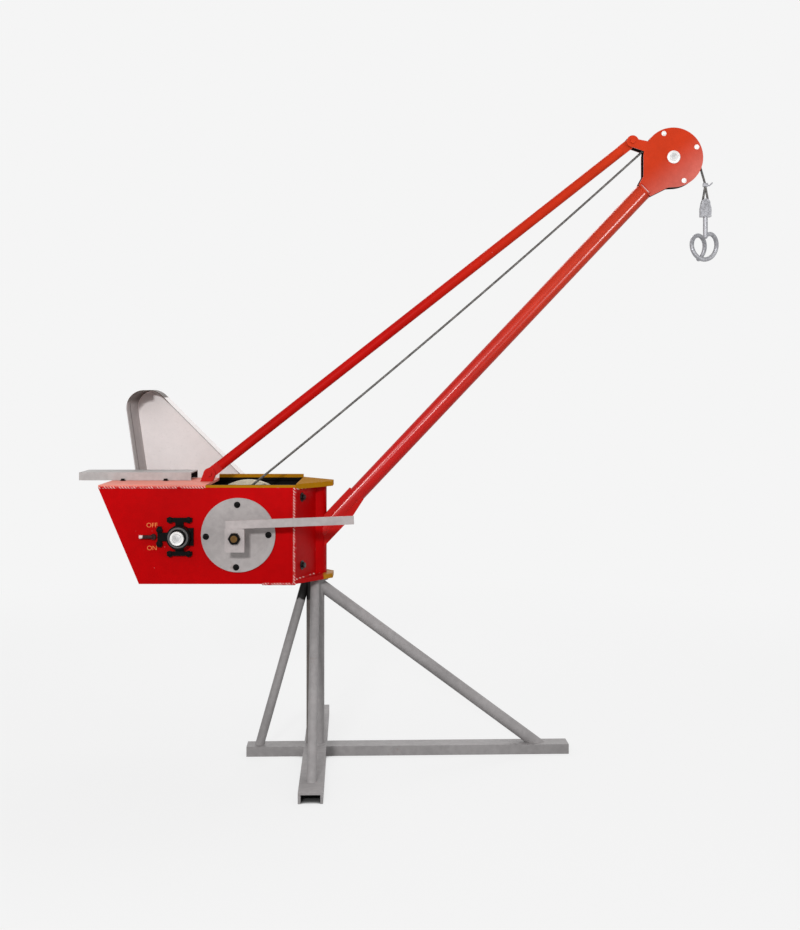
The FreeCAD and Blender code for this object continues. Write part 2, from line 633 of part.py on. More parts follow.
def make_lever():
    """Control lever on the end of the drum axle, with its nut."""
    half = "lever_hub_width / 2"
    hub_top = "lever_hub_height / 2 - lever_hub_drop"
    hub_bottom = "-(lever_hub_height / 2 + lever_hub_drop)"
    hub = plate("lever_hub", "XZ_Plane", "lever_hub_thickness",
                [[("-(%s)" % half, hub_bottom), (half, hub_bottom), (half, hub_top),
                  ("-(%s)" % half, hub_top)]],
                [(0, 0, "axle_radius")],
                x="-drum_back", y="-%s" % LEVER_BACK, z="drum_height")
    low = "lever_bar_rise - lever_bar_height / 2"
    high = "lever_bar_rise + lever_bar_height / 2"
    front = "lever_length - lever_bar_back"
    bar = plate("lever_bar", "XZ_Plane", "lever_thickness",
                [[("-lever_bar_back", low), (front, low), (front, high),
                  ("-lever_bar_back", high)]],
                x="-drum_back", y="-%s" % LEVER_BACK, z="drum_height",
                axis=AXIS_Y, angle="-lever_tilt")
    node(joined("control_lever", hub, bar))
    hub_face = "(%s + lever_hub_thickness)" % LEVER_BACK
    nut_face = "(%s + axle_nut_height)" % hub_face
    stud = "axle_stud_radius"
    journal = cross_bar("axle_journal", "axle_radius", "-%s" % hub_face,
                        "%s + 2 * axle_radius" % COVER_FACE, "-drum_back", "drum_height")
    thread = cross_bar("axle_thread", stud, "-(%s + axle_stud_end)" % nut_face, "-%s" % hub_face,
                       "-drum_back", "drum_height")
    node(joined("drum_axle", journal, thread))
    corner = "axle_nut_flats / sqrt(3)"
    half_corner = "axle_nut_flats / sqrt(3) / 2"
    side = "axle_nut_flats / 2"
    hexagon = [(corner, 0), (half_corner, side), ("-(%s)" % half_corner, side),
               ("-(%s)" % corner, 0), ("-(%s)" % half_corner, "-(%s)" % side),
               (half_corner, "-(%s)" % side)]
    node(plate("axle_nut", "XZ_Plane", "axle_nut_height", [hexagon], [(0, 0, stud)],
               x="-drum_back", y="-%s" % hub_face, z="drum_height"))


def make_bearings():
    """Cast countershaft bearings on T-shaped feet, one on each side plate."""
    stem = "bearing_stem / 2"
    wide = "bearing_foot_width / 2"
    reach = "bearing_foot_reach"
    inner = "bearing_foot_reach - bearing_bar"
    lug = "bearing_front_width / 2"
    rear = "-bearing_rear_reach"
    rear_inner = "bearing_bar - bearing_rear_reach"
    tall = "bearing_rear_width / 2"
    minus = "-(%s)"
    upper = [(minus % stem, stem), (minus % stem, inner), (minus % wide, inner),
             (minus % wide, reach), (wide, reach), (wide, inner), (stem, inner), (stem, lug),
             ("bearing_front_reach", lug)]
    lower = [(x, minus % z) for x, z in reversed(upper)]
    back = [(rear_inner, minus % stem), (rear_inner, minus % tall), (rear, minus % tall),
            (rear, tall), (rear_inner, tall), (rear_inner, stem)]
    outline = upper + lower + back
    bearings = []
    for label, foot_y, near, far in (
            ("bearing_near", "-box_half_width", "-(box_half_width + bearing_hub_length)",
             "-box_half_width"),
            ("bearing_far", "box_half_width + bearing_base", "box_half_width",
             "box_half_width + bearing_hub_length")):
        feet = plate(label + "_feet", "XZ_Plane", "bearing_base", [outline],
                     x="-counter_back", y=foot_y, z="counter_height")
        hub = cross_bar(label + "_hub", "bearing_hub_radius", near, far,
                        "-counter_back", "counter_height")
        bore = cross_bar(label + "_bore", "counter_radius + running_clearance", near, far,
                         "-counter_back", "counter_height")
        bearings.append(removed(label, joined(label + "_body", feet, hub), bore))
    node(grouped("shaft_bearings", *bearings))


def make_countershaft():
    """Countershaft with its end collar, friction roller and belt pulley."""
    collar_far = "(box_half_width + bearing_hub_length + shaft_collar_gap)"
    near_end = "-(%s + shaft_collar_length)" % collar_far
    node(cross_bar("countershaft", "counter_radius", near_end,
                   "%s + pulley_end_gap / 2" % PULLEY_FAR, "-counter_back", "counter_height"))
    where = {"x": "-counter_back", "z": "counter_height"}
    node(ring("shaft_collar", "shaft_collar_radius", "counter_radius", near_end,
              "-%s" % collar_far, **where))
    roller_middle = "(barrel_half_length + friction_rim_width / 2)"
    node(ring("friction_roller", "roller_radius", "counter_radius",
              "%s - roller_length / 2" % roller_middle,
              "%s + roller_length / 2" % roller_middle, **where))
    near = "%s - pulley_width" % PULLEY_FAR
    middle = "%s - pulley_width / 2" % PULLEY_FAR
    bottom = "pulley_radius - pulley_groove_depth"
    rim_inside = "pulley_radius - pulley_groove_depth - pulley_rim"
    profile = [("pulley_radius", near)]
    for shift in ("- pulley_width / 4", "+ pulley_width / 4"):
        centre = "(%s %s)" % (middle, shift)
        profile += [("pulley_radius", "%s - pulley_groove_width / 2" % centre),
                    (bottom, "%s - pulley_groove_width / 4" % centre),
                    (bottom, "%s + pulley_groove_width / 4" % centre),
                    ("pulley_radius", "%s + pulley_groove_width / 2" % centre)]
    web_near = "%s - pulley_web / 2" % middle
    web_far = "%s + pulley_web / 2" % middle
    profile += [("pulley_radius", PULLEY_FAR), (rim_inside, PULLEY_FAR), (rim_inside, web_far),
                ("pulley_hub_radius", web_far), ("pulley_hub_radius", PULLEY_FAR),
                ("counter_radius", PULLEY_FAR), ("counter_radius", near),
                ("pulley_hub_radius", near), ("pulley_hub_radius", web_near),
                (rim_inside, web_near), (rim_inside, near)]
    node(turned("belt_pulley", profile, **where))


def guard_form(label, inset, near, far):
    """Solid whose outline is two arcs joined by their outer tangents."""
    run = "(guard_top_back - guard_low_back)"
    rise = "(guard_low_height - guard_top_height)"
    span = "sqrt(%s^2 + %s^2)" % (run, rise)
    spread = "acos((guard_top_radius - guard_low_radius) / %s)" % span
    along = "atan2(%s; %s)" % (rise, run)
    top = "(guard_top_radius - %s)" % inset
    low = "(guard_low_radius - %s)" % inset
    corners = []
    for back, height, radius, sign in (
            ("guard_top_back", "guard_top_height", top, "+"),
            ("guard_low_back", "guard_low_height", low, "+"),
            ("guard_low_back", "guard_low_height", low, "-"),
            ("guard_top_back", "guard_top_height", top, "-")):
        normal = "(%s %s %s)" % (along, sign, spread)
        corners.append(("%s * cos(%s) - %s" % (radius, normal, back),
                        "%s * sin(%s) + %s" % (radius, normal, height)))
    middle = plate(label + "_middle", "XZ_Plane", "%s - %s" % (far, near), [corners], y=far)
    upper = cross_bar(label + "_upper", top, near, far, "-guard_top_back", "guard_top_height")
    lower = cross_bar(label + "_lower", low, near, far, "-guard_low_back", "guard_low_height")
    return joined(label, middle, upper, lower)


def make_guard():
    """Belt guard: a pan, a lip along its rear edge and the rods that carry it."""
    outer = guard_form("pan_outer", "0", GUARD_SEAM, GUARD_BACK)
    inner = guard_form("pan_inner", "guard_wall", GUARD_SEAM, "(%s - guard_wall)" % GUARD_BACK)
    node(removed("belt_guard_pan", outer, inner))
    lip_outer = guard_form("lip_outer", "0", GUARD_FRONT, GUARD_SEAM)
    lip_inner = guard_form("lip_inner", "guard_wall", GUARD_FRONT, GUARD_SEAM)
    strip = removed("lip_ring", lip_outer, lip_inner)
    window = block("lip_window", "2 * guard_top_radius", "guard_lip_depth",
                   "guard_top_height + 2 * guard_top_radius - guard_lip_bottom",
                   x="-guard_top_back - 2 * guard_top_radius", y=GUARD_FRONT,
                   z="guard_lip_bottom")
    node(kept("belt_guard_lip", strip, window))
    rods = []
    for label, angle in (("rod_rear", "(-low_rod_angle)"), ("rod_front", "(low_rod_angle - 180)"),
                         ("rod_top", "top_rod_angle")):
        rods.append(cross_bar(label, "standoff_radius", "box_half_width",
                              "%s - guard_wall" % GUARD_BACK,
                              "-(guard_low_back + rod_circle * cos(%s))" % angle,
                              "guard_low_height + rod_circle * sin(%s)" % angle))
    node(grouped("guard_rods", *rods))


def along_boom(distance, above):
    """Point at a distance along the boom's line and above it, as (x, z)."""
    return ("(%s) * cos(%s) - (%s) * sin(%s)" % (distance, BOOM_ANGLE, above, BOOM_ANGLE),
            "boom_root_height + (%s) * sin(%s) + (%s) * cos(%s)"
            % (distance, BOOM_ANGLE, above, BOOM_ANGLE))


def boom_bar(label, radius, start, end):
    """Round bar on the boom's line."""
    x, z = along_boom(start, 0)
    return cylinder(label, radius, "(%s) - (%s)" % (end, start), x=x, z=z,
                    axis=AXIS_Y, angle="90 deg - %s" % BOOM_ANGLE)


def make_boom():
    """Boom tube coped to the sleeve, the cheeks at its foot and its end cap."""
    outer = boom_bar("boom_outer", "boom_radius", "0", BOOM_END)
    inner = boom_bar("boom_bore", "boom_radius - boom_wall", "0", BOOM_END)
    sleeve = cylinder("boom_cope", "sleeve_radius", SIDE_TOP)
    node(removed("boom_tube", outer, joined("boom_inside", inner, sleeve)))
    node(boom_bar("boom_end_cap", "boom_radius", BOOM_END, "%s + boom_cap" % BOOM_END))
    above = "shoe_above / cos(%s)" % BOOM_ANGLE
    below = "shoe_below / cos(%s)" % BOOM_ANGLE
    outline = [(0, "boom_root_height - %s" % below),
               along_boom("shoe_heel", "-shoe_below"),
               along_boom("shoe_length", "-boom_radius"),
               along_boom("shoe_length - shoe_bevel", "shoe_above"),
               (0, "boom_root_height + %s" % above)]
    near = plate("shoe_near", "XZ_Plane", "shoe_thickness", [outline], y="-shoe_gap / 2")
    far = plate("shoe_far", "XZ_Plane", "shoe_thickness", [outline],
                y="shoe_gap / 2 + shoe_thickness")
    core = boom_bar("shoe_core", "boom_radius", "0", BOOM_END)
    cope = cylinder("shoe_cope", "sleeve_radius", SIDE_TOP)
    node(removed("boom_foot_cheeks", grouped("shoe_pair", near, far),
                 joined("shoe_inside", core, cope)))


def make_head():
    """Two cheeks with a neck to the boom and a lug to the tie, and the sheave."""
    end = "(%s + boom_cap)" % BOOM_END
    corners = []
    for above in ("boom_radius", "-boom_radius"):
        x, z = along_boom(end, above)
        corners.append(("%s - head_reach" % x, "%s - head_height" % z))
    neck = [("-cheek_radius", 0), ("-cheek_radius", "-0.63 * cheek_radius"),
            corners[0], corners[1], ("-0.18 * cheek_radius", "-1.01 * cheek_radius"),
            (0, "-cheek_radius")]
    lug = [("-tie_head_back", "tie_head_rise - tie_lug_radius"),
           ("-0.96 * cheek_radius", "0.2 * cheek_radius"),
           ("-0.84 * cheek_radius", "0.54 * cheek_radius"),
           ("-tie_head_back", "tie_head_rise + tie_lug_radius / 2")]
    outlines = [(0, 0, "cheek_radius"), neck, lug,
                ("-tie_head_back", "tie_head_rise", "tie_lug_radius")]
    holes = [(0, 0, "head_axle_radius"), ("-tie_head_back", "tie_head_rise", "tie_pin_radius")]
    where = {"x": "head_reach", "z": "head_height"}
    near = plate("cheek_near", "XZ_Plane", "cheek_thickness", outlines, holes,
                 y="-cheek_gap / 2", **where)
    far = plate("cheek_far", "XZ_Plane", "cheek_thickness", outlines, holes,
                y="cheek_gap / 2 + cheek_thickness", **where)
    node(grouped("head_cheeks", near, far))
    outside = "(cheek_gap / 2 + cheek_thickness)"
    shaft = cross_bar("axle_shaft", "head_axle_radius", "-%s" % outside, outside,
                      "head_reach", "head_height")
    caps = [cross_bar("axle_cap_near", "axle_cap_radius", "-(%s + axle_cap_height)" % outside,
                      "-%s" % outside, "head_reach", "head_height"),
            cross_bar("axle_cap_far", "axle_cap_radius", outside,
                      "%s + axle_cap_height" % outside, "head_reach", "head_height")]
    node(joined("head_axle", shaft, *caps))
    half = "sheave_width / 2"
    web = "sheave_web / 2"
    seat = "sheave_pitch - rope_radius - rope_clearance"
    rim_inside = "sheave_pitch - 4 * rope_radius"
    bore = "head_axle_radius + running_clearance"
    side = [(bore, half), ("sheave_hub", half), ("sheave_hub", web), (rim_inside, web),
            (rim_inside, half), ("sheave_rim", half), ("sheave_rim", "2 * rope_radius"),
            (seat, "groove_half_width")]
    profile = side + [(radius, "-(%s)" % y) for radius, y in reversed(side)]
    node(turned("head_sheave", profile, **where))


def make_tie():
    """Tie tube with flat eyes, its lugs on the deck and its two pins."""
    foot = {"x": "-tie_foot_back", "z": TIE_FOOT_HEIGHT}
    tube_length = "%s - 2 * tie_eye_reach" % TIE_LENGTH
    node(tube("tie_tube", "tie_radius", "tie_wall", tube_length,
              x="tie_eye_reach * cos(%s) - tie_foot_back" % TIE_ANGLE,
              z="%s + tie_eye_reach * sin(%s)" % (TIE_FOOT_HEIGHT, TIE_ANGLE),
              axis=AXIS_Y, angle="90 deg - %s" % TIE_ANGLE))
    eyes = []
    for label, start, end, centre in (
            ("eye_foot", "0", "tie_eye_reach", "0"),
            ("eye_head", "%s - tie_eye_reach" % TIE_LENGTH, TIE_LENGTH, TIE_LENGTH)):
        blade = [(start, "-tie_eye_radius"), (end, "-tie_eye_radius"),
                 (end, "tie_eye_radius"), (start, "tie_eye_radius")]
        eyes.append(plate(label, "XZ_Plane", "tie_eye_thickness",
                          [blade, (centre, 0, "tie_eye_radius")],
                          [(centre, 0, "tie_pin_radius")], y="tie_eye_thickness / 2",
                          axis=AXIS_Y, angle="-%s" % TIE_ANGLE, **foot))
    node(grouped("tie_eyes", *eyes))
    inside = "(tie_eye_thickness / 2 + tie_lug_gap)"
    toe = "tie_foot_back - opening_rear"
    base = [("-1.5 * tie_lug_radius", "-tie_foot_rise"), (toe, "-tie_foot_rise"),
            ("0.95 * tie_lug_radius", "-0.3 * tie_lug_radius"),
            ("-0.9 * tie_lug_radius", "0.4 * tie_lug_radius")]
    lugs = []
    for label, y in (("lug_near", "-%s" % inside),
                     ("lug_far", "%s + cheek_thickness" % inside)):
        lugs.append(plate(label, "XZ_Plane", "cheek_thickness",
                          [base, (0, 0, "tie_lug_radius")], [(0, 0, "tie_pin_radius")],
                          y=y, **foot))
    node(grouped("tie_foot_lugs", *lugs))
    foot_end = "(%s + cheek_thickness + tie_pin_radius)" % inside
    head_end = "(cheek_gap / 2 + cheek_thickness + tie_pin_radius)"
    pins = [cross_bar("pin_foot", "tie_pin_radius", "-%s" % foot_end, foot_end,
                      "-tie_foot_back", TIE_FOOT_HEIGHT),
            cross_bar("pin_head", "tie_pin_radius", "-%s" % head_end, head_end,
                      "head_reach - tie_head_back", "head_height + tie_head_rise")]
    node(grouped("tie_pins", *pins))


def rope_arc(label, radius, start, sweep, x, z):
    """Arc of rope in the upright plane, which starts at an angle above the front."""
    bend = doc.addObject("Part::Torus", label + "_bend")
    bind(bend, Radius1=radius, Radius2="rope_radius", Angle3=sweep)
    place(bend, axis=AXIS_X, angle="90")
    return place(grouped(label, bend), x=x, z=z, axis=AXIS_Y, angle="-(%s)" % start)


def make_rope():
    """Hoist rope from the drum over the sheave to the eye that holds the hook."""
    run = "sqrt(%s^2 - (sheave_pitch - %s)^2)" % (ROPE_SPAN, ROPE_AT_DRUM)
    straight = cylinder("rope_run", "rope_radius", run,
                        x="-%s * sin(%s) - drum_back" % (ROPE_AT_DRUM, ROPE_ANGLE),
                        z="%s * cos(%s) + drum_height" % (ROPE_AT_DRUM, ROPE_ANGLE),
                        axis=AXIS_Y, angle="90 deg - %s" % ROPE_ANGLE)
    over = rope_arc("rope_over_sheave", "sheave_pitch", "fall_lean",
                    "90 deg + %s - fall_lean * 1 deg" % ROPE_ANGLE, "head_reach", "head_height")
    eye_top = "(%s + eye_height)" % HOOK_HEIGHT
    fall = cylinder("rope_fall", "rope_radius", "%s / cos(fall_lean)" % FALL_DROP,
                    x=HOOK_X, z=eye_top, axis=AXIS_Y, angle="-fall_lean")
    spread = "asin(rope_eye_radius / eye_height)"
    leg = "sqrt(eye_height^2 - rope_eye_radius^2)"
    pieces = [straight, over, fall]
    for label, sign in (("eye_leg_rear", ""), ("eye_leg_front", "-")):
        pieces.append(cylinder(label, "rope_radius", leg, x=HOOK_X, z=eye_top,
                               axis=AXIS_Y, angle="%s(180 deg + %s)" % (sign, spread)))
    pieces.append(rope_arc("rope_eye", "rope_eye_radius", "180 deg - %s" % spread,
                           "180 deg + 2 * %s" % spread, HOOK_X, HOOK_HEIGHT))
    rope = node(joined("hoist_rope", *pieces))
    clip = block("clip_block", "clip_width", "clip_depth", "clip_height",
                 x="%s - clip_width / 2" % HOOK_X, y="-clip_depth / 2",
                 z="%s - clip_height / 2" % eye_top)
    node(removed("rope_clip", clip, rope))


def make_hook():
    """Pigtail hook whose coil a sling is threaded into, under its forked block."""
    half_gap = "hook_ear_gap / 2"
    outside = "(hook_ear_gap / 2 + hook_ear_thickness)"
    block_top = "-hook_block_drop"
    pin_radius = "rope_eye_radius - rope_radius - rope_clearance"
    where = {"x": HOOK_X, "z": HOOK_HEIGHT}
    cheek = [("-hook_ear_radius", 0), ("-hook_block_width / 2", block_top),
             ("hook_block_width / 2", block_top), ("hook_ear_radius", 0)]
    ears = []
    for label, y in (("ear_near", "-(%s)" % half_gap), ("ear_far", outside)):
        ears.append(plate(label, "XZ_Plane", "hook_ear_thickness",
                          [cheek, (0, 0, "hook_ear_radius")], [(0, 0, pin_radius)],
                          y=y, **where))
    body = block("hook_body", "hook_block_width", "2 * %s" % outside, "hook_block_height",
                 x="%s - hook_block_width / 2" % HOOK_X, y="-%s" % outside,
                 z="%s - hook_block_drop - hook_block_height" % HOOK_HEIGHT)
    node(joined("hook_fork", body, *ears))
    pin_end = "(%s + pin_stand_out)" % outside
    node(cross_bar("hook_pin", pin_radius, "-%s" % pin_end, pin_end, HOOK_X, HOOK_HEIGHT))
    helix = doc.addObject("Part::Helix", "coil_line")
    bind(helix, Radius="coil_radius", Pitch="coil_pitch", Height="coil_pitch * coil_turns")
    rod = doc.addObject("Part::Circle", "coil_rod")
    bind(rod, Radius="coil_rod_radius")
    place(rod, x="coil_radius", axis=AXIS_X,
          angle="atan2(coil_pitch; 2 * pi * coil_radius) - 90 deg")
    coil = doc.addObject("Part::Sweep", "coil_sweep")
    coil.Sections = [rod]
    coil.Spine = (helix, ["Edge1"])
    coil.Solid = True
    coil.Frenet = True
    upright = FreeCAD.Matrix(0, 1, 0, 0, 0, 0, 1, 0, 1, 0, 0, 0, 0, 0, 0, 1)
    coil.Placement = FreeCAD.Placement(upright)
    turn_end = "(360 deg * coil_turns)"
    tip = ball("coil_tip", "coil_knuckle_radius", x="coil_radius * sin(%s)" % turn_end,
               y="coil_pitch * coil_turns", z="coil_radius * cos(%s)" % turn_end)
    knuckle = ball("coil_knuckle", "coil_knuckle_radius", z="coil_radius")
    wound = place(joined("coil_wound", coil, knuckle, tip), axis=AXIS_Y, angle="-coil_start",
                  x="coil_radius * sin(coil_start)")
    yawed = place(grouped("coil_yawed", wound), axis=AXIS_Z, angle="coil_yaw",
                  z="-coil_radius * cos(coil_start)")
    shank = cylinder("hook_shank", "shank_radius", SHANK_DROP)
    hook = joined("pigtail_hook", yawed, shank)
    place(hook, x=HOOK_X,
          z="%s - hook_block_drop - hook_block_height - %s" % (HOOK_HEIGHT, SHANK_DROP))
    node(hook)


def make_selector():
    """Selector stub beside the countershaft: a boss and a rod along the plate."""
    boss = cross_bar("selector_boss", "stub_boss_radius", "-(box_half_width + stub_standoff)",
                     "-box_half_width", "stub_length / 2 - stub_back", "counter_height")
    rod = cylinder("selector_rod", "stub_radius", "stub_length",
                   x="-(stub_back + stub_length / 2)", y="-(box_half_width + stub_standoff)",
                   z="counter_height", axis=AXIS_Y, angle="90")
    node(joined("selector_stub", boss, rod))


def check_and_export():
    """Stop on a failed object, then write every piece to its STEP file."""
    doc.recompute()
    for item in doc.Objects:
        if "Invalid" in item.State or "Error" in item.State:
            raise RuntimeError("%s failed: %s" % (item.Label, item.State))
    os.makedirs("parts", exist_ok=True)
    for item in NODES:
        shape = item.Shape
        if shape.isNull() or not shape.isValid() or not shape.Solids:
            raise RuntimeError("%s has no valid solid" % item.Label)
    for item in NODES:
        item.Shape.exportStep("parts/%s.step" % item.Label)
        print("%-20s %2d solids  %12.0f mm3" % (item.Label, len(item.Shape.Solids),
                                                item.Shape.Volume))


make_base()
make_mast()
make_struts()
make_box()
make_bow()
make_platform()
make_drum()
make_covers()
make_lever()
make_bearings()
make_countershaft()
make_guard()
make_boom()
make_head()
make_tie()
make_rope()
make_hook()
make_selector()
check_and_export()
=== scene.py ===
import math

import bpy
import mathutils
import numpy as np
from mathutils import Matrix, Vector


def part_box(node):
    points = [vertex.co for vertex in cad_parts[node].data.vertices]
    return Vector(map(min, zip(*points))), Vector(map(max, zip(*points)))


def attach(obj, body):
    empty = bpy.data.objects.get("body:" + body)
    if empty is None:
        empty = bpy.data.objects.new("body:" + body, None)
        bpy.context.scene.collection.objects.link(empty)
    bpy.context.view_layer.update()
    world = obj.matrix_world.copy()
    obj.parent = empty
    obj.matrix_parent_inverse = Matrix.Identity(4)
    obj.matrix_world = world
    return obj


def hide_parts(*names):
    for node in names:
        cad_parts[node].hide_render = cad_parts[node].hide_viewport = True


# Looks of a portable builder's jib crane: enamel, bare steel and castings on the
# built pieces, and the wire rope, bolts, weld beads and painted marks on them.
# Metres, +Z up, the mast axis at the origin, the boom towards +X.

bl_info = {
    "name": "Jib Crane Looks",
    "version": (1, 0, 0),
    "blender": (4, 5, 0),
    "location": "View3D > Sidebar > Jib Crane",
    "description": "Finishes, wire rope, bolts, welds and marks of a builder's jib crane",
    "category": "Object",
}

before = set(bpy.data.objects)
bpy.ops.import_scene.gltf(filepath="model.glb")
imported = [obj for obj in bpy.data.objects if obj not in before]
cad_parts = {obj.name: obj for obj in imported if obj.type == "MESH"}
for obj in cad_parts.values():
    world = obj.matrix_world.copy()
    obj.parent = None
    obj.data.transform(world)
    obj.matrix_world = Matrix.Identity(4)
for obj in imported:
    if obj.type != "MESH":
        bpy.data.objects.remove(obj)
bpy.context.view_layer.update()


def corners(node):
    """Lowest and highest corner of a built piece, as arrays."""
    low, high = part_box(node)
    return np.array(low), np.array(high)


def middle(node):
    low, high = corners(node)
    return (low + high) / 2


# Landmarks of the crane, read from the built pieces
SHEAVE = middle("head_sheave")
DRUM = middle("wound_rope")
WINDING_LOW, WINDING_HIGH = corners("wound_rope")
ROPE_LOW, ROPE_HIGH = corners("hoist_rope")
PIN = middle("hook_pin")
COUNTER = middle("countershaft")
PLATE_LOW, PLATE_HIGH = corners("side_plate_near")
FAR_FACE = corners("side_plate_far")[1][1]
NEAR_FACE = PLATE_LOW[1]
CHEEK_LOW, CHEEK_HIGH = corners("head_cheeks")
DECK_TOP = corners("deck_plate")[1][2]
RIM_START = corners("opening_rims")[0][0]
SLEEVE = middle("slewing_sleeve")
SLEEVE_RADIUS = corners("slewing_sleeve")[1][0] - SLEEVE[0]
POST_RADIUS = corners("mast_post")[1][0]
LEG_TOP = corners("long_leg")[1][2]
LIP_LOW, LIP_HIGH = corners("belt_guard_lip")
SELECTOR_END = corners("selector_stub")[0][0]
BOW_LOW, BOW_HIGH = corners("bow_plates")
PLATFORM_LOW, PLATFORM_HIGH = corners("motor_platform")
RIM_TOP = corners("opening_rims")[1][2]
ROPE_RADIUS = (ROPE_HIGH[1] - ROPE_LOW[1]) / 2

# Fits and thicknesses the built pieces have
ROPE_CLEARANCE = 0.0003   # between the rope's run and the winding
COVER_THICKNESS = 0.008   # the drum covers' plates
FOOT_THICKNESS = 0.014    # the bearings' feet
CHEEK_WALL = 0.004        # the outer skin of the head cheeks, which stays red
PLATE_WALL = 0.005        # the outer skin of the side plates, which stays red

# Colours of painted shade (black for recesses and gaps between parts, brown for the shade under
# the guard's crown and in its lip's seam), then colours of wear, whatever the paint
SHADE_BLACK = (0.006, 0.005, 0.005)
SHADE_BROWN = (0.06, 0.035, 0.025)
RUBBED_STEEL = (0.42, 0.41, 0.40)
OXIDE = (0.20, 0.15, 0.11)


# ---------------------------------------------------------------- settings

def colour_setting(name, description, default):
    return bpy.props.FloatVectorProperty(
        name=name, description=description, default=default,
        subtype="COLOR", size=3, min=0.0, max=1.0)


def length_setting(name, description, default):
    return bpy.props.FloatProperty(
        name=name, description=description, default=default,
        min=0.0, subtype="DISTANCE", unit="LENGTH", precision=4)


class CraneColours(bpy.types.PropertyGroup):
    """Colours of the crane's finishes"""
    box_red: colour_setting("Box red", "Enamel of the winch box", (0.47, 0.0, 0.001))
    boom_red: colour_setting("Boom red", "Enamel of the boom and tie", (0.49, 0.006, 0.004))
    head_red: colour_setting("Head red", "Faded enamel of the head cheeks", (0.56, 0.040, 0.010))
    ochre: colour_setting("Ochre", "Paint of the bow plates and rims", (0.38, 0.165, 0.004))
    grey: colour_setting("Grey", "Paint of the base and the deck fittings", (0.31, 0.295, 0.295))
    cover_grey: colour_setting("Cover grey", "Paint of the drum covers", (0.37, 0.34, 0.335))
    lever_grey: colour_setting("Lever grey", "Paint of the control lever", (0.42, 0.375, 0.37))
    guard_grey: colour_setting("Guard grey", "Paint of the belt guard", (0.44, 0.41, 0.405))
    casting_black: colour_setting("Casting black", "Paint of the bearings", (0.004, 0.004, 0.004))
    drum_cream: colour_setting("Drum cream", "Paint of the drum and pulley", (0.66, 0.60, 0.46))
    bare_steel: colour_setting("Bare steel", "Turned steel of shafts and pins", (0.62, 0.61, 0.60))
    zinc: colour_setting("Zinc", "Galvanised steel of the hook", (0.36, 0.36, 0.38))
    rope_steel: colour_setting("Rope steel", "Greased wire of the hoist rope", (0.10, 0.095, 0.09))
    # Painted sheen: the pink the head's cheeks take towards their lower right
    head_sheen_pink: colour_setting("Faded head", "Enamel bleached by the weather", (0.62, 0.15, 0.12))
    # Painted light and shade: the guard's pale back and slope and its grey walls are lit and
    # shaded sides of one paint
    guard_white: colour_setting("Guard white", "Paint inside the guard's back", (0.90, 0.85, 0.84))
    # Painted sheen: the deck's pale pink stands in for the light its top reflects at a grazing
    # view
    deck_sheen_pink: colour_setting("Deck pink", "Sun-bleached enamel of the deck",
                              (0.78, 0.24, 0.18))
    # Painted shade: this brown stands in for the shade on the mast post's left side
    post_shade_brown: colour_setting("Post brown", "Oiled paint of the mast post", (0.13, 0.11, 0.10))
    platform_grey: colour_setting("Platform grey", "Paint of the motor platform",
                                  (0.47, 0.445, 0.435))
    black_steel: colour_setting("Black steel", "Cast steel of the sheave", (0.05, 0.045, 0.04))
    primer: colour_setting("Primer", "Pale primer where enamel has chipped", (0.62, 0.50, 0.48))
    rust: colour_setting("Rust", "Rust in chips and corners", (0.16, 0.055, 0.02))
    mark_orange: colour_setting("Mark orange", "Painted marks on the box", (0.80, 0.20, 0.02))


class CraneFittings(bpy.types.PropertyGroup):
    """Sizes of the bolts, welds, rope and marks"""
    rope_strands: bpy.props.IntProperty(
        name="Rope strands", description="Strands laid in the hoist rope", default=6, min=3, max=8)
    rope_lay: length_setting("Rope lay", "Length of one turn of a strand", 0.052)
    rope_step: length_setting("Rope step", "Spacing of the rope's sections", 0.003)
    rope_sag: length_setting("Rope sag", "Rope's sag between drum and sheave", 0.015)
    cover_bolt_circle: length_setting("Cover bolt circle", "Radius of the cover's bolts", 0.101)
    cover_bolt_flats: length_setting("Cover bolt flats", "Across the cover bolts' flats", 0.012)
    head_bolt_circle: length_setting("Head bolt circle", "Radius of the head's bolts", 0.0858)
    head_bolt_flats: length_setting("Head bolt flats", "Across the head bolts' flats", 0.0097)
    bow_bolt_flats: length_setting("Bow bolt flats", "Across the bow bolts' flats", 0.018)
    small_bolt_flats: length_setting("Small bolt flats", "Across the smaller bolts' flats", 0.012)
    weld_radius: length_setting("Weld radius", "Radius of a weld bead", 0.004)
    weld_ripple: length_setting("Weld ripple", "Length of one ripple of a bead", 0.0095)
    mark_height: length_setting("Mark height", "Height of the painted marks", 0.015)


class CraneStage(bpy.types.PropertyGroup):
    """Camera, floor and lamps"""
    eye: bpy.props.FloatVectorProperty(
        name="Eye", description="Place of the camera", default=(0.285, -4.65, 1.240),
        subtype="XYZ", unit="LENGTH", size=3)
    lens: bpy.props.FloatProperty(
        name="Lens", description="Focal length in millimetres", default=53.42, min=1.0)
    rise: bpy.props.FloatProperty(
        name="Rise", description="Vertical shift of the lens", default=-0.086)
    floor_radius: length_setting("Floor radius", "Radius of the floor", 30.0)
    backdrop: bpy.props.FloatProperty(
        name="Backdrop", description="Brightness of the backdrop", default=0.913, min=0.0, max=1.0)
    sky: bpy.props.FloatProperty(
        name="Sky", description="Strength of the even light", default=0.58, min=0.0)
    shine: bpy.props.FloatProperty(
        name="Shine", description="Power per metre of the strip lamps", default=225.0,
        min=0.0)


# ---------------------------------------------------------------- surfaces

def unit(vectors):
    """Vectors scaled to length one."""
    vectors = np.asarray(vectors, float)
    return vectors / np.linalg.norm(vectors, axis=-1, keepdims=True)


def around(count):
    """Angles spaced evenly round a circle."""
    return np.linspace(0, 2 * np.pi, count, endpoint=False)


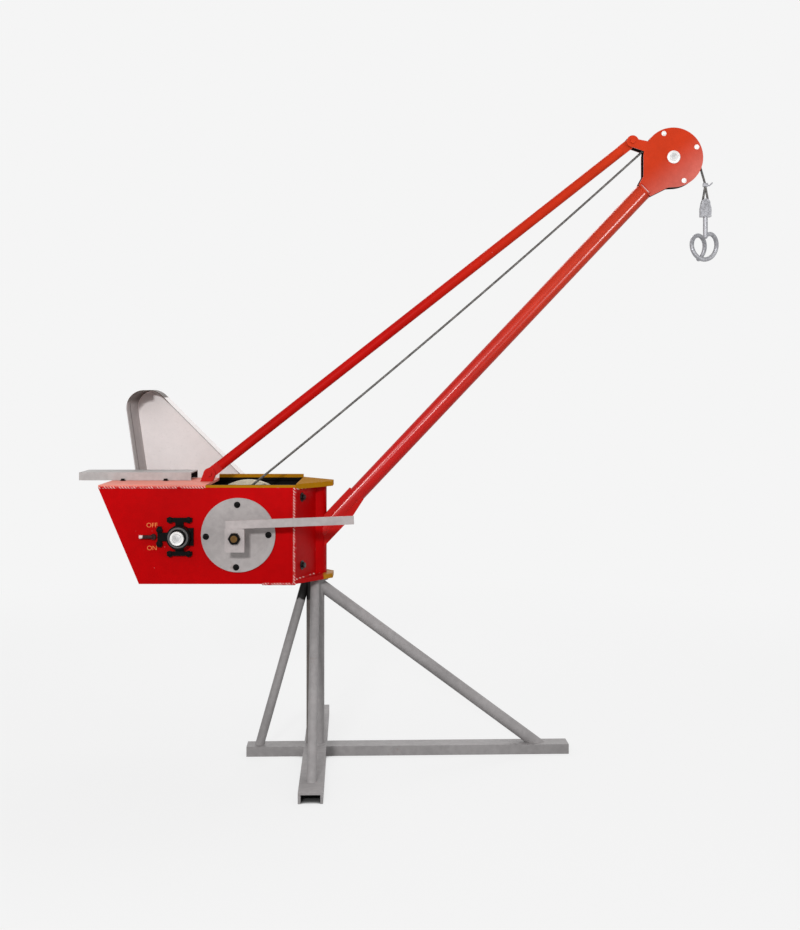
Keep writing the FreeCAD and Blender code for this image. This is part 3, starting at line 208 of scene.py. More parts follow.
def square_to(axis):
    """The axis at length one, and two directions square to it and each other."""
    axis = unit(axis)
    helper = np.array([0.0, 0.0, 1.0]) if abs(axis[2]) < 0.9 else np.array([1.0, 0.0, 0.0])
    across = unit(np.cross(axis, helper))
    return axis, across, np.cross(axis, across)


def travelled(path):
    """Distance along a path at each of its points."""
    steps = np.linalg.norm(np.diff(path, axis=0), axis=1)
    return np.concatenate([[0.0], np.cumsum(steps)])


def tube_faces(rows, columns):
    """Faces of a closed tube of rows by columns points, then its two end points.

    Each row is a ring; neighbouring rings are joined by quads, and the first
    and the last ring by triangles to an end point of their own.
    """
    index = np.arange(rows * columns).reshape(rows, columns)
    after = np.roll(index, -1, axis=1)
    sides = np.stack([index[:-1], after[:-1], after[1:], index[1:]], axis=-1).reshape(-1, 4)
    start = np.full(columns, rows * columns)
    first = np.stack([start, after[0], index[0]], axis=-1)
    last = np.stack([start + 1, index[-1], after[-1]], axis=-1)
    return sides.tolist() + first.tolist() + last.tolist()


def outward(points, faces):
    """The faces, turned round if the shape's signed volume is negative."""
    triangles = np.array([face[:3] for face in faces]
                         + [[face[0], face[2], face[3]] for face in faces if len(face) == 4])
    a, b, c = (points[triangles[:, corner]] for corner in range(3))
    if np.einsum("ij,ij->i", a, np.cross(b, c)).sum() < 0:
        faces = [face[::-1] for face in faces]
    return faces


def piece(name, shapes, body, look):
    """One mesh from several closed tubes of points, riding on a body.

    shapes is a list of arrays (rows, columns, 3); each is closed at both ends
    at the middle of its end ring.
    """
    points, faces, offset = [], [], 0
    for grid in shapes:
        rows, columns = grid.shape[:2]
        ends = np.stack([grid[0].mean(axis=0), grid[-1].mean(axis=0)])
        shape = np.concatenate([grid.reshape(-1, 3), ends])
        made = outward(shape - shape.mean(axis=0), tube_faces(rows, columns))
        faces += [[corner + offset for corner in face] for face in made]
        points.append(shape)
        offset += len(shape)
    mesh = bpy.data.meshes.new(name)
    mesh.from_pydata(np.concatenate(points).tolist(), [], faces)
    mesh.polygons.foreach_set("use_smooth", np.ones(len(faces), bool))
    mesh.materials.append(look)
    return rides(bpy.data.objects.new(name, mesh), body)


def rides(made, body):
    """The object, put in the scene on its body with its material slot."""
    bpy.context.scene.collection.objects.link(made)
    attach(made, body)
    return made


def sharpen(made, degrees=35.0):
    """Keep edges steeper than this crisp on a smooth piece."""
    made.data.set_sharp_from_angle(angle=math.radians(degrees))


def carried(path, radius, angle, towards):
    """Ring of radius and angle carried along a path.

    A point is path + radius * (cos(angle) * side + sin(angle) * lift), where
    side is square to the path and to the direction towards, and lift is square
    to the path and to side. radius and angle may be arrays (rows, columns).
    """
    along = unit(np.gradient(path, axis=0))
    side = unit(np.cross(along, towards))
    lift = np.cross(side, along)
    radius = np.broadcast_to(radius, angle.shape)[..., None]
    ring = np.cos(angle)[..., None] * side[:, None] + np.sin(angle)[..., None] * lift[:, None]
    return path[:, None] + radius * ring


def turned(centre, axis, profile, columns=32):
    """Profile of (radius, distance along the axis) turned about the axis."""
    axis, across, up = square_to(axis)
    angle = around(columns)
    ring = np.cos(angle)[:, None] * across + np.sin(angle)[:, None] * up
    radius, along = np.array(profile, float).T
    return (np.asarray(centre) + along[:, None, None] * axis
            + radius[:, None, None] * ring[None])


def hexagonal(centre, axis, flats, height, turn=0.0):
    """Bolt head on a washer: a hexagon whose top edge is turned to a cone.

    In plan the head's radius is flats / 2 over the cosine of the angle to the
    nearest flat; near the top it is limited by a cone of half that height.
    """
    axis, across, up = square_to(axis)
    angle = around(48)
    to_flat = np.mod(angle + turn, np.pi / 3) - np.pi / 6
    plan = flats / 2 / np.cos(to_flat)
    washer, lip = flats * 0.86, flats * 0.12
    cone = flats / 2 * np.array([2.0, 2.0, 1.09, 0.98, 0.9])
    rise = lip + (height - lip) * np.array([0.0, 0.62, 0.86, 0.985, 1.0])
    head = np.minimum(plan[None], cone[:, None])
    washers = np.broadcast_to(np.array([washer * 0.96, washer, washer, washer * 0.95])[:, None],
                              (4, len(angle)))
    radius = np.concatenate([washers, head])
    along = np.concatenate([[-0.0003, 0.0, lip * 0.75, lip], rise])
    ring = np.cos(angle)[:, None] * across + np.sin(angle)[:, None] * up
    return np.asarray(centre) + along[:, None, None] * axis + radius[..., None] * ring[None]


def straight(start, end, step):
    """Points from start to end about a step apart."""
    start, end = np.asarray(start, float), np.asarray(end, float)
    count = max(2, int(np.linalg.norm(end - start) / step) + 1)
    return start + np.linspace(0, 1, count)[:, None] * (end - start)


def arc(centre, radius, start, end, step):
    """Points on an arc in the XZ plane, from one angle to the other."""
    count = max(3, int(abs(end - start) * radius / step) + 1)
    angle = np.linspace(start, end, count)
    return np.stack([centre[0] + radius * np.cos(angle), np.full(count, centre[1]),
                     centre[2] + radius * np.sin(angle)], axis=-1)


def bead(path, radius, ripple, towards):
    """Weld bead along a path: a ring whose radius swells once a ripple.

    radius = r * (0.9 + 0.12 * |sin(pi * distance / ripple)|) * (1 + 0.05 * noise),
    with noise that is the same each run, closing to a point at both ends.
    """
    distance = travelled(path)
    wander = np.random.default_rng(7).normal(0.0, 0.05, len(path))
    swell = (0.9 + 0.12 * np.abs(np.sin(np.pi * distance / ripple))) * (1 + wander)
    from_end = np.minimum(distance, distance[-1] - distance) / radius
    taper = np.sqrt(np.clip(0.1 + from_end, 0.0, 1.0))
    angle = np.broadcast_to(around(10), (len(path), 10))
    return carried(path, (radius * swell * taper)[:, None], angle, towards)


# ---------------------------------------------------------------- finishes

class Wiring:
    """A node tree being wired up."""

    def __init__(self, tree):
        self.tree = tree

    def add(self, kind, inputs=None, **settings):
        node = self.tree.nodes.new(kind)
        for name, value in settings.items():
            setattr(node, name, value)
        for socket, value in (inputs or {}).items():
            self.feed(node.inputs[socket], value)
        return node

    def feed(self, socket, value):
        if isinstance(value, bpy.types.NodeSocket):
            self.tree.links.new(value, socket)
        elif socket.type == "RGBA" and len(value) == 3:
            socket.default_value = (*value, 1.0)
        else:
            socket.default_value = value


class Finish(Wiring):
    """A material being wired up, with the place on the piece at hand."""

    def __init__(self, name):
        self.material = bpy.data.materials.new(name)
        self.material.use_nodes = True
        super().__init__(self.material.node_tree)
        self.shader = self.tree.nodes["Principled BSDF"]
        self.place = self.add("ShaderNodeTexCoord").outputs["Object"]

    def stretched(self, scale):
        """Place on the piece with each axis scaled."""
        return self.add("ShaderNodeMapping", {"Vector": self.place, "Scale": scale}).outputs[0]

    def noise(self, scale, detail=4.0, roughness=0.55, place=None):
        return self.add("ShaderNodeTexNoise", {
            "Vector": self.place if place is None else place, "Scale": scale,
            "Detail": detail, "Roughness": roughness}).outputs["Fac"]

    def ranged(self, value, low, high, to_low=0.0, to_high=1.0):
        """Value between low and high, smoothly taken to the new range."""
        return self.add("ShaderNodeMapRange", {
            "Value": value, "From Min": low, "From Max": high, "To Min": to_low,
            "To Max": to_high}, interpolation_type="SMOOTHSTEP").outputs["Result"]

    def maths(self, operation, first, second=0.0):
        return self.add("ShaderNodeMath", {0: first, 1: second}, operation=operation).outputs[0]

    def mixed(self, share, first, second, blend="MIX"):
        return self.add("ShaderNodeMix", {0: share, 6: first, 7: second},
                        data_type="RGBA", blend_type=blend).outputs[2]

    def shaded(self, colour, tone):
        """Colour made lighter or darker by a tone round one."""
        shade = self.add("ShaderNodeCombineColor", {0: tone, 1: tone, 2: tone}).outputs[0]
        return self.mixed(1.0, colour, shade, "MULTIPLY")

    def part(self, axis):
        """One coordinate of the place on the piece."""
        return self.add("ShaderNodeSeparateXYZ", {0: self.place}).outputs[axis]

    def within(self, low, high):
        """One inside a box of space, zero outside it."""
        share = 1.0
        for axis in range(3):
            place = self.part(axis)
            above = self.maths("GREATER_THAN", place, float(low[axis]))
            below = self.maths("LESS_THAN", place, float(high[axis]))
            share = self.maths("MULTIPLY", share, self.maths("MULTIPLY", above, below))
        return share

    def worn_edge(self, radius):
        """One along convex and concave edges, nought on flat stretches."""
        rounded = self.add("ShaderNodeBevel", {"Radius": radius}, samples=4).outputs[0]
        flat = self.add("ShaderNodeNewGeometry").outputs["Normal"]
        same = self.add("ShaderNodeVectorMath", {0: rounded, 1: flat},
                        operation="DOT_PRODUCT").outputs["Value"]
        return self.ranged(same, 0.998, 0.94)

    def rough_surface(self, height, strength, distance=0.001):
        bump = self.add("ShaderNodeBump", {"Height": height, "Strength": strength,
                                           "Distance": distance})
        self.tree.links.new(bump.outputs[0], self.shader.inputs["Normal"])

    def set(self, **sockets):
        for name, value in sockets.items():
            self.feed(self.shader.inputs[name.replace("_", " ")], value)
        return self.material


def toned(finish, colour, scale=2.5, amount=0.12, fine=0.06):
    """Colour with slow and fine changes of tone."""
    slow = finish.ranged(finish.noise(scale, 3.0), 0.3, 0.7, 1 - amount, 1 + amount)
    quick = finish.ranged(finish.noise(scale * 18, 5.0), 0.3, 0.7, 1 - fine, 1 + fine)
    tone = finish.maths("MULTIPLY", slow, quick)
    return finish.shaded(colour, tone)


def enamel(name, colour, chip_colour, gloss=0.32, chips=0.5, shine=0.08,
           coat=0.0, fade=None, specks=0.72, skin=0.05, edges=True, inside=None):
    """Brushed enamel: uneven tone, worn edges, chips to the primer, dull scuffs.

    fade is (direction, from, to, colour): the enamel turns to that colour as the
    place on the piece moves along the direction; on the head this is a painted sheen. A round tube
    has no edges.
    inside is a box of space, (low, high), painted black as painted shade.
    """
    finish = Finish(name)
    paint = toned(finish, colour, 2.5, 0.08, 0.04)
    if fade is not None:
        direction, start, end, shifted_colour = fade
        reach = finish.add("ShaderNodeVectorMath", {0: finish.place, 1: direction},
                           operation="DOT_PRODUCT").outputs["Value"]
        paint = finish.mixed(finish.ranged(reach, start, end), paint, toned(finish, shifted_colour, 3.5))
    cloud = finish.noise(9.0, 6.0, 0.62)
    dull = finish.ranged(cloud, 0.55, 0.8, 0.0, 0.25)
    paint = finish.mixed(dull, paint, tuple(part * 0.8 for part in colour))
    sparse = finish.ranged(finish.noise(4.0, 2.0), 0.58, 0.70)
    chip = finish.maths("MULTIPLY", sparse, finish.ranged(finish.noise(150.0, 2.0, 0.5),
                                                          specks, specks + 0.02))
    if edges:
        ragged = finish.ranged(finish.noise(95.0, 6.0, 0.7), 0.66 - 0.12 * chips, 0.70, 0, 1)
        chip = finish.maths("MAXIMUM", chip,
                            finish.maths("MULTIPLY", finish.worn_edge(0.0022), ragged))
    chip = finish.maths("MULTIPLY", chip, chips)
    paint = finish.mixed(chip, paint, chip_colour)
    # Painted shade: black where shade falls inside the box and between the head's cheeks
    if inside is not None:
        paint = finish.mixed(finish.within(*inside), paint, SHADE_BLACK)
    rough = finish.maths("ADD", finish.ranged(cloud, 0.35, 0.75, gloss, gloss + 0.08),
                         finish.maths("MULTIPLY", chip, 0.35))
    if skin:
        texture = finish.maths("ADD", finish.noise(60.0, 3.0),
                               finish.maths("MULTIPLY", chip, -0.8))
        finish.rough_surface(texture, skin, 0.0008)
    return finish.set(Base_Color=paint, Roughness=rough, Coat_Weight=coat,
                      Coat_Roughness=0.22, Specular_IOR_Level=shine)


def satin_grey(name, colour, rust, wear=0.5, streak=(1.0, 1.0, 1.0), gloss=0.42,
               shade_band=None, shaded_side=None, inside=None):
    """Grey machine paint: brush streaks, rubbed edges, a little rust and dust.

    The band of heights (from, to) is painted black, as painted shade under the box.
    The side behind x, given as (x, colour), is painted that colour as painted shade, and the
    black keeps to it. inside is a box of space, (low, high), painted black as painted shade.
    """
    finish = Finish(name)
    paint = toned(finish, colour, 3.0, 0.10, 0.07)
    brush = finish.noise(34.0, 5.0, 0.6, finish.stretched(streak))
    paint = finish.mixed(finish.ranged(brush, 0.52, 0.8, 0.0, 0.35), paint,
                         tuple(min(1.0, part * 1.35) for part in colour))
    ragged = finish.noise(85.0, 6.0, 0.7)
    edge = finish.maths("MULTIPLY", finish.worn_edge(0.0028),
                        finish.ranged(ragged, 0.5, 0.62))
    edge = finish.maths("MULTIPLY", edge, wear)
    paint = finish.mixed(edge, paint, RUBBED_STEEL)
    stain_and_shade = finish.maths("MULTIPLY", finish.ranged(finish.noise(6.0, 5.0, 0.65), 0.60, 0.74),
                         finish.ranged(finish.noise(48.0, 5.0, 0.7), 0.50, 0.66))
    paint = finish.mixed(finish.maths("MULTIPLY", stain_and_shade, 0.55 * wear), paint, rust)
    behind = 1.0
    # Painted shade: the shaded side of the piece takes a darker colour
    if shaded_side is not None:
        limit, stain_and_shade = shaded_side
        behind = finish.ranged(finish.part(0), limit - 0.003, limit + 0.003, 1.0, 0.0)
        paint = finish.mixed(behind, paint, toned(finish, stain_and_shade, 20.0, 0.25, 0.15))
    # Painted shade: black just under the box, kept to the shaded side
    if shade_band is not None:
        ragged = finish.ranged(finish.noise(40.0, 4.0), 0.3, 0.7, -0.006, 0.006)
        height = finish.maths("ADD", finish.part(2), ragged)
        black = finish.maths("MULTIPLY", behind, finish.ranged(height, *shade_band))
        paint = finish.mixed(black, paint, SHADE_BLACK)
    # Painted shade: black inside this box of space
    if inside is not None:
        paint = finish.mixed(finish.within(*inside), paint, SHADE_BLACK)
    rough = finish.ranged(brush, 0.3, 0.8, gloss, gloss + 0.18)
    finish.rough_surface(finish.maths("ADD", brush, finish.noise(170.0, 2.0)), 0.09, 0.001)
    return finish.set(Base_Color=paint, Roughness=rough, Specular_IOR_Level=0.25)


def guard_paint(name, wall, back, low, high):
    """Painted light and shade on one paint: grey on the guard's rear wall, pale on its flat back
    and slope, brown under the crown.
    """
    finish = Finish(name)
    # The pale flat back and slope are the lit side and the grey walls the shaded side, as painted
    # light and shade
    flat = finish.maths("GREATER_THAN", finish.part(1), float(high[1] - 0.006))
    slope = finish.maths("MULTIPLY",
                         finish.maths("GREATER_THAN", finish.part(0),
                                      float(0.75 * low[0] + 0.25 * high[0])),
                         finish.maths("GREATER_THAN", finish.part(1), float(low[1] + 0.002)))
    inside = finish.maths("MAXIMUM", flat, slope)
    # Painted shade: brown under the crown
    crown = finish.ranged(finish.part(2), float(high[2] - 0.06), float(high[2] - 0.03))
    wall = finish.mixed(crown, wall, SHADE_BROWN)
    grey = toned(finish, wall, 5.0, 0.12, 0.06)
    pale = toned(finish, back, 2.0, 0.03, 0.02)
    grain = finish.noise(120.0, 5.0, 0.6)
    dust = finish.ranged(grain, 0.55, 0.8, 0.0, 0.25)
    paint = finish.mixed(dust, finish.mixed(inside, grey, pale), (0.5, 0.47, 0.45))
    finish.rough_surface(grain, 0.08, 0.0008)
    return finish.set(Base_Color=paint, Roughness=finish.ranged(grain, 0.3, 0.7, 0.4, 0.52),
                      Specular_IOR_Level=0.25)


def lip_paint(name, wall, crown, seam):
    """Grey paint on the guard's lip, with painted shade: brown under its crown and dark at the
    seam.
    """
    finish = Finish(name)
    grain = finish.noise(110.0, 5.0, 0.6)
    ragged = finish.ranged(grain, 0.3, 0.7, -0.004, 0.004)
    high = finish.ranged(finish.maths("ADD", finish.part(2), ragged), crown - 0.06, crown - 0.03)
    near_seam = finish.maths("ABSOLUTE", finish.maths("SUBTRACT", finish.part(1), seam))
    crease_shade = finish.ranged(near_seam, 0.003, 0.012, 0.75, 0.0)
    paint = finish.mixed(finish.maths("MAXIMUM", high, crease_shade),
                         toned(finish, wall, 5.0, 0.15, 0.08), SHADE_BROWN)
    finish.rough_surface(grain, 0.08, 0.0008)
    return finish.set(Base_Color=paint, Roughness=0.45, Specular_IOR_Level=0.25)


def casting(name, colour, rub, gloss=0.5, shine=0.4):
    """Painted casting: sandy skin, rubbed high edges."""
    finish = Finish(name)
    paint = toned(finish, colour, 6.0, 0.15, 0.12)
    sand = finish.noise(260.0, 4.0, 0.7)
    edge = finish.maths("MULTIPLY", finish.worn_edge(0.002), finish.ranged(sand, 0.4, 0.6))
    paint = finish.mixed(finish.maths("MULTIPLY", edge, 0.6), paint, rub)
    finish.rough_surface(finish.maths("ADD", sand, finish.noise(30.0, 3.0)), 0.22, 0.0012)
    return finish.set(Base_Color=paint, Specular_IOR_Level=shine,
                      Roughness=finish.ranged(sand, 0.3, 0.7, gloss, gloss + 0.15))


def weld_enamel(name, colour, crown_primer_and_glint, ripple):
    """Enamel on weld beads, pale on the crown of most ripples: partly primer where worn, partly a
    painted highlight.
    """
    finish = Finish(name)
    paint = toned(finish, colour)
    # The pale crowns are partly primer where worn and partly a painted highlight
    reach = finish.maths("ADD", finish.part(0), finish.part(2))
    wave = finish.maths("SINE", finish.maths("MULTIPLY", reach, 2 * math.pi / ripple))
    patchy = finish.ranged(finish.noise(70.0, 4.0, 0.6), 0.38, 0.50)
    crown = finish.maths("MULTIPLY", finish.ranged(wave, 0.1, 0.5), patchy)
    paint = finish.mixed(finish.maths("MULTIPLY", crown, 0.85), paint, crown_primer_and_glint)
    finish.rough_surface(finish.noise(260.0, 4.0), 0.15, 0.0006)
    return finish.set(Base_Color=paint, Roughness=0.4, Specular_IOR_Level=0.1)


def tipped_enamel(name, colour, tip_colour, rust, start):
    """Enamel in one colour up to start along X, and in the tip's colour past it."""
    finish = Finish(name)
    ragged = finish.ranged(finish.noise(60.0, 4.0), 0.3, 0.7, -0.003, 0.003)
    tip = finish.ranged(finish.maths("ADD", finish.part(0), ragged), start - 0.002, start + 0.002)
    ochre = finish.mixed(finish.ranged(finish.noise(30.0, 6.0, 0.7), 0.55, 0.75, 0.0, 0.6),
                         toned(finish, tip_colour, 8.0, 0.2, 0.1), rust)
    paint = finish.mixed(tip, toned(finish, colour), ochre)
    finish.rough_surface(finish.noise(80.0, 4.0), 0.08, 0.0008)
    return finish.set(Base_Color=paint, Specular_IOR_Level=0.08,
                      Roughness=finish.ranged(ragged, -0.003, 0.003, 0.38, 0.5))


def turned_steel(name, colour, centre, gloss=0.28, dish=0.0):
    """Lathe-turned steel: fine rings round an axis along Y, faint oxide.

    dish is the radius of a duller centre with a groove round it.
    """
    finish = Finish(name)
    spot = finish.add("ShaderNodeVectorMath", {0: finish.place, 1: tuple(centre)},
                      operation="SUBTRACT").outputs[0]
    flat = finish.add("ShaderNodeVectorMath", {0: spot, 1: (1.0, 0.0, 1.0)},
                      operation="MULTIPLY").outputs[0]
    radius = finish.add("ShaderNodeVectorMath", {0: flat}, operation="LENGTH").outputs["Value"]
    rings = finish.maths("SINE", finish.maths("MULTIPLY", radius, 5200.0))
    bright = toned(finish, colour, 12.0, 0.12, 0.10)
    oxide = finish.ranged(finish.noise(55.0, 6.0, 0.7), 0.55, 0.75, 0.0, 0.45)
    bright = finish.mixed(oxide, bright, OXIDE)
    if dish:
        dull = finish.ranged(radius, dish * 0.8, dish, 0.5, 0.0)
        off = finish.maths("ABSOLUTE", finish.maths("SUBTRACT", radius, dish * 1.12))
        groove = finish.ranged(off, dish * 0.05, dish * 0.12, 0.7, 0.0)
        bright = finish.mixed(finish.maths("MAXIMUM", dull, groove), bright, (0.28, 0.28, 0.29))
    finish.rough_surface(finish.maths("ADD", rings, finish.noise(300.0, 2.0)), 0.06, 0.0006)
    rough = finish.ranged(finish.noise(40.0, 4.0), 0.3, 0.7, gloss, gloss + 0.18)
    return finish.set(Base_Color=bright, Metallic=1.0, Roughness=rough)


def galvanised(name, colour):
    """Zinc with its spangle, dulled by weather."""
    finish = Finish(name)
    spangle = finish.add("ShaderNodeTexVoronoi", {"Vector": finish.place, "Scale": 240.0})
    shade = finish.add("ShaderNodeSeparateColor", {0: spangle.outputs["Color"]}).outputs[0]
    tone = finish.ranged(shade, 0.0, 1.0, 0.82, 1.14)
    zinc = finish.shaded(toned(finish, colour, 14.0, 0.12, 0.08), tone)
    bloom = finish.ranged(finish.noise(40.0, 5.0, 0.65), 0.52, 0.72, 0.0, 0.5)
    zinc = finish.mixed(bloom, zinc, (0.55, 0.55, 0.55))
    finish.rough_surface(finish.noise(150.0, 4.0), 0.12, 0.0008)
    rough = finish.ranged(shade, 0.0, 1.0, 0.38, 0.55)
    return finish.set(Base_Color=zinc, Metallic=0.75, Roughness=rough)


def greased_wire(name, colour):
    """Steel wire under old grease, with worn crowns on the strands."""
    finish = Finish(name)
    grime = finish.noise(120.0, 5.0, 0.6)
    wire = finish.mixed(finish.ranged(grime, 0.45, 0.7), toned(finish, colour, 20.0, 0.2, 0.2),
                        (0.24, 0.23, 0.22))
    finish.rough_surface(finish.noise(900.0, 2.0), 0.25, 0.0006)
    return finish.set(Base_Color=wire, Metallic=0.6,
                      Roughness=finish.ranged(grime, 0.3, 0.7, 0.34, 0.6))


def mark_paint(name, colour, under):
    """Hand-painted mark, thin where the brush ran dry."""
    finish = Finish(name)
    dry = finish.ranged(finish.noise(420.0, 5.0, 0.7), 0.46, 0.64)
    paint = finish.mixed(finish.maths("MULTIPLY", dry, 0.65), toned(finish, colour, 40.0), under)
    finish.rough_surface(dry, 0.1, 0.0005)
    return finish.set(Base_Color=paint, Roughness=0.5)


def make_finishes():
    """Every material of the crane, by name.

    The built pieces bring materials of their own, one of them called ochre_paint
    too, so a built piece gets its finish from this list and not by its name.
    """
    colours = bpy.context.scene.crane_colours
    sizes = bpy.context.scene.crane_fittings

    def tint(name):
        return tuple(getattr(colours, name))

    box_red, boom_red, head_red = tint("box_red"), tint("boom_red"), tint("head_red")
    grey, primer, rust, ochre = tint("grey"), tint("primer"), tint("rust"), tint("ochre")
    guard_grey, black = tint("guard_grey"), tint("casting_black")
    boom_fade = ((1.0, 0.0, 0.0), 0.2, SHEAVE[0], head_red)
    # Painted sheen: the head cheeks turn pink towards their lower right, where a highlight falls
    low_front = (0.64, 0.0, -0.77)
    across = float(np.dot(SHEAVE, low_front))
    head_sheen = (low_front, across - 0.03, across + 0.12, tint("head_sheen_pink"))
    # Painted shade: black inside the box and on the inner faces of the head's cheeks
    box_shaded_inside = ((PLATE_LOW[0] + 0.001, NEAR_FACE + PLATE_WALL, PLATE_LOW[2] + 0.001),
                  (PLATE_HIGH[0] + 0.002, FAR_FACE - PLATE_WALL, RIM_TOP - 0.011))
    head_shaded_gap = ((CHEEK_LOW[0], CHEEK_LOW[1] + CHEEK_WALL, CHEEK_LOW[2]),
                   (CHEEK_HIGH[0], CHEEK_HIGH[1] - CHEEK_WALL, CHEEK_HIGH[2]))
    upright_streak, long_streak = (1.0, 1.0, 0.35), (0.2, 1.0, 1.0)
    # Painted shade: black on the struts and post between these heights, just under the box
    shade_under_box = (PLATE_LOW[2] - 0.08, PLATE_LOW[2] - 0.07)
    return {
        "box_enamel": enamel("box_enamel", box_red, primer, gloss=0.42, chips=1.0,
                             shine=0.03, specks=0.77, inside=box_shaded_inside),
        "rear_enamel": enamel("rear_enamel", box_red, primer, gloss=0.42, chips=1.0,
                              shine=0.03, specks=0.77),
        "deck_enamel": enamel("deck_enamel", tint("deck_sheen_pink"), primer, gloss=0.45,
                              chips=1.0, shine=0.1),
        "bow_enamel": enamel("bow_enamel", tuple(0.9 * part for part in box_red), primer,
                             gloss=0.42, chips=0.9, shine=0.04),
        "boom_enamel": enamel("boom_enamel", boom_red, primer, gloss=0.35, chips=0.6,
                              shine=0.03, coat=0.3, fade=boom_fade, skin=0.0,
                              edges=False),
        "tie_enamel": enamel("tie_enamel", boom_red, primer, gloss=0.4, chips=0.5, shine=0.04,
                             fade=boom_fade, skin=0.02, edges=False),
        "lug_enamel": enamel("lug_enamel", boom_red, primer, gloss=0.3, fade=boom_fade),
        "head_enamel": enamel("head_enamel", head_red, primer, gloss=0.30, chips=0.5,
                              fade=head_sheen, skin=0.02, inside=head_shaded_gap),
        "weld_enamel": weld_enamel("weld_enamel", box_red, (0.85, 0.66, 0.62),
                                   sizes.weld_ripple),
        "ochre_paint": enamel("ochre_paint", ochre, rust, gloss=0.65, chips=0.8,
                              shine=0.02, inside=box_shaded_inside),
        "bow_ochre_tip": tipped_enamel("bow_ochre_tip", box_red, ochre, rust,
                                       SLEEVE[0] + 0.8 * SLEEVE_RADIUS),
        "base_grey": satin_grey("base_grey", grey, rust, streak=upright_streak),
        "strut_grey": satin_grey("strut_grey", grey, rust, streak=upright_streak,
                                 shade_band=shade_under_box),
        "post_grey": satin_grey("post_grey", grey, rust, streak=upright_streak,
                                shade_band=shade_under_box,
                                shaded_side=(-0.5 * POST_RADIUS, tint("post_shade_brown"))),
        # Painted shade: black on the inside of the platform's open end
        "platform_grey": satin_grey("platform_grey", tint("platform_grey"), rust,
                                    wear=0.7, streak=long_streak,
                                    inside=(PLATFORM_LOW + (-1, 0.003, -1),
                                            PLATFORM_HIGH - (-0.1, 0.003, 0.003))),
        "cover_grey": satin_grey("cover_grey", tint("cover_grey"), rust, wear=0.5),
        "lever_grey": satin_grey("lever_grey", tint("lever_grey"), rust, wear=0.5,
                                 streak=long_streak, gloss=0.36),
        "guard_paint": guard_paint("guard_paint", guard_grey,
                                   tint("guard_white"), *corners("belt_guard_pan")),
        "lip_paint": lip_paint("lip_paint", guard_grey, LIP_HIGH[2],
                               LIP_LOW[1] + 0.55 * (LIP_HIGH[1] - LIP_LOW[1])),
        "guard_rod_grey": satin_grey("guard_rod_grey", guard_grey, rust),
        "casting_black": casting("casting_black", black,
                                 (0.02, 0.018, 0.018), 0.3, 0.04),
        "drum_cream": casting("drum_cream", tint("drum_cream"), (0.25, 0.22, 0.2), 0.5),
        "sheave_steel": casting("sheave_steel", tint("black_steel"), (0.2, 0.19, 0.18)),
        "head_steel": turned_steel("head_steel", (0.78, 0.77, 0.76), SHEAVE, 0.28, 0.011),
        "bolt_steel": turned_steel("bolt_steel", (0.80, 0.78, 0.76), SHEAVE, 0.35),
        "counter_steel": turned_steel("counter_steel", tint("bare_steel"), COUNTER, 0.22, 0.0125),
        "bolt_black": casting("bolt_black", black, (0.1, 0.09, 0.09),
                              0.2, 0.18),
        "brass_brown": turned_steel("brass_brown", (0.09, 0.05, 0.018), DRUM, 0.4),
        "selector_paint": tipped_enamel("selector_paint", (0.78, 0.62, 0.60),
                                        (0.03, 0.012, 0.012), (0.01, 0.008, 0.008),
                                        SELECTOR_END + 0.009),
        "ring_steel": casting("ring_steel", (0.07, 0.065, 0.065), (0.2, 0.19, 0.19), 0.3),
        "zinc": galvanised("zinc", tint("zinc")),
        "rope_wire": greased_wire("rope_wire", tint("rope_steel")),
        "mark_orange": mark_paint("mark_orange", tint("mark_orange"), box_red),
    }


FINISH_OF_NODE = {
    "base_grey": ["long_leg", "side_legs", "front_strut", "side_struts"],
    "strut_grey": ["rear_strut"],
    "post_grey": ["mast_post", "mast_flange"],
    "platform_grey": ["motor_platform"],
    "cover_grey": ["drum_covers"],
    "lever_grey": ["control_lever"],
    "guard_paint": ["belt_guard_pan"],
    "lip_paint": ["belt_guard_lip"],
    "guard_rod_grey": ["guard_rods"],
    "box_enamel": ["side_plate_near", "side_plate_far"],
    "rear_enamel": ["rear_plate"],
    "deck_enamel": ["deck_plate"],
    "bow_enamel": ["bow_plates", "slewing_sleeve"],
    "boom_enamel": ["boom_tube"],
    "tie_enamel": ["tie_tube"],
    "lug_enamel": ["boom_end_cap", "boom_foot_cheeks", "tie_eyes", "tie_foot_lugs", "tie_pins"],
    "head_enamel": ["head_cheeks"],
    "ochre_paint": ["opening_rims", "bow_top_plate"],
    "bow_ochre_tip": ["bow_bottom_plate"],
    "casting_black": ["shaft_bearings", "axle_nut"],
    "drum_cream": ["drum_barrel", "drum_flange", "friction_rim", "belt_pulley",
                   "friction_roller"],
    "sheave_steel": ["head_sheave"],
    "head_steel": ["head_axle"],
    "brass_brown": ["drum_axle"],
    "counter_steel": ["countershaft", "shaft_collar"],
    "selector_paint": ["selector_stub"],
    "zinc": ["hook_fork", "hook_pin", "pigtail_hook", "rope_clip"],
    "rope_wire": ["hoist_rope", "wound_rope"],
}


# ---------------------------------------------------------------- operators

def look_of(name):
    """A finish made earlier, by its name."""
    return bpy.data.materials[name]


class CRANE_OT_finishes(bpy.types.Operator):
    """Make every finish and put it on the built pieces"""
    bl_idname = "crane.finishes"
    bl_label = "Finishes"

    def execute(self, context):
        made = make_finishes()
        for name, nodes in FINISH_OF_NODE.items():
            for node in nodes:
                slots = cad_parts[node].data.materials
                slots.clear()
                slots.append(made[name])
        return {"FINISHED"}


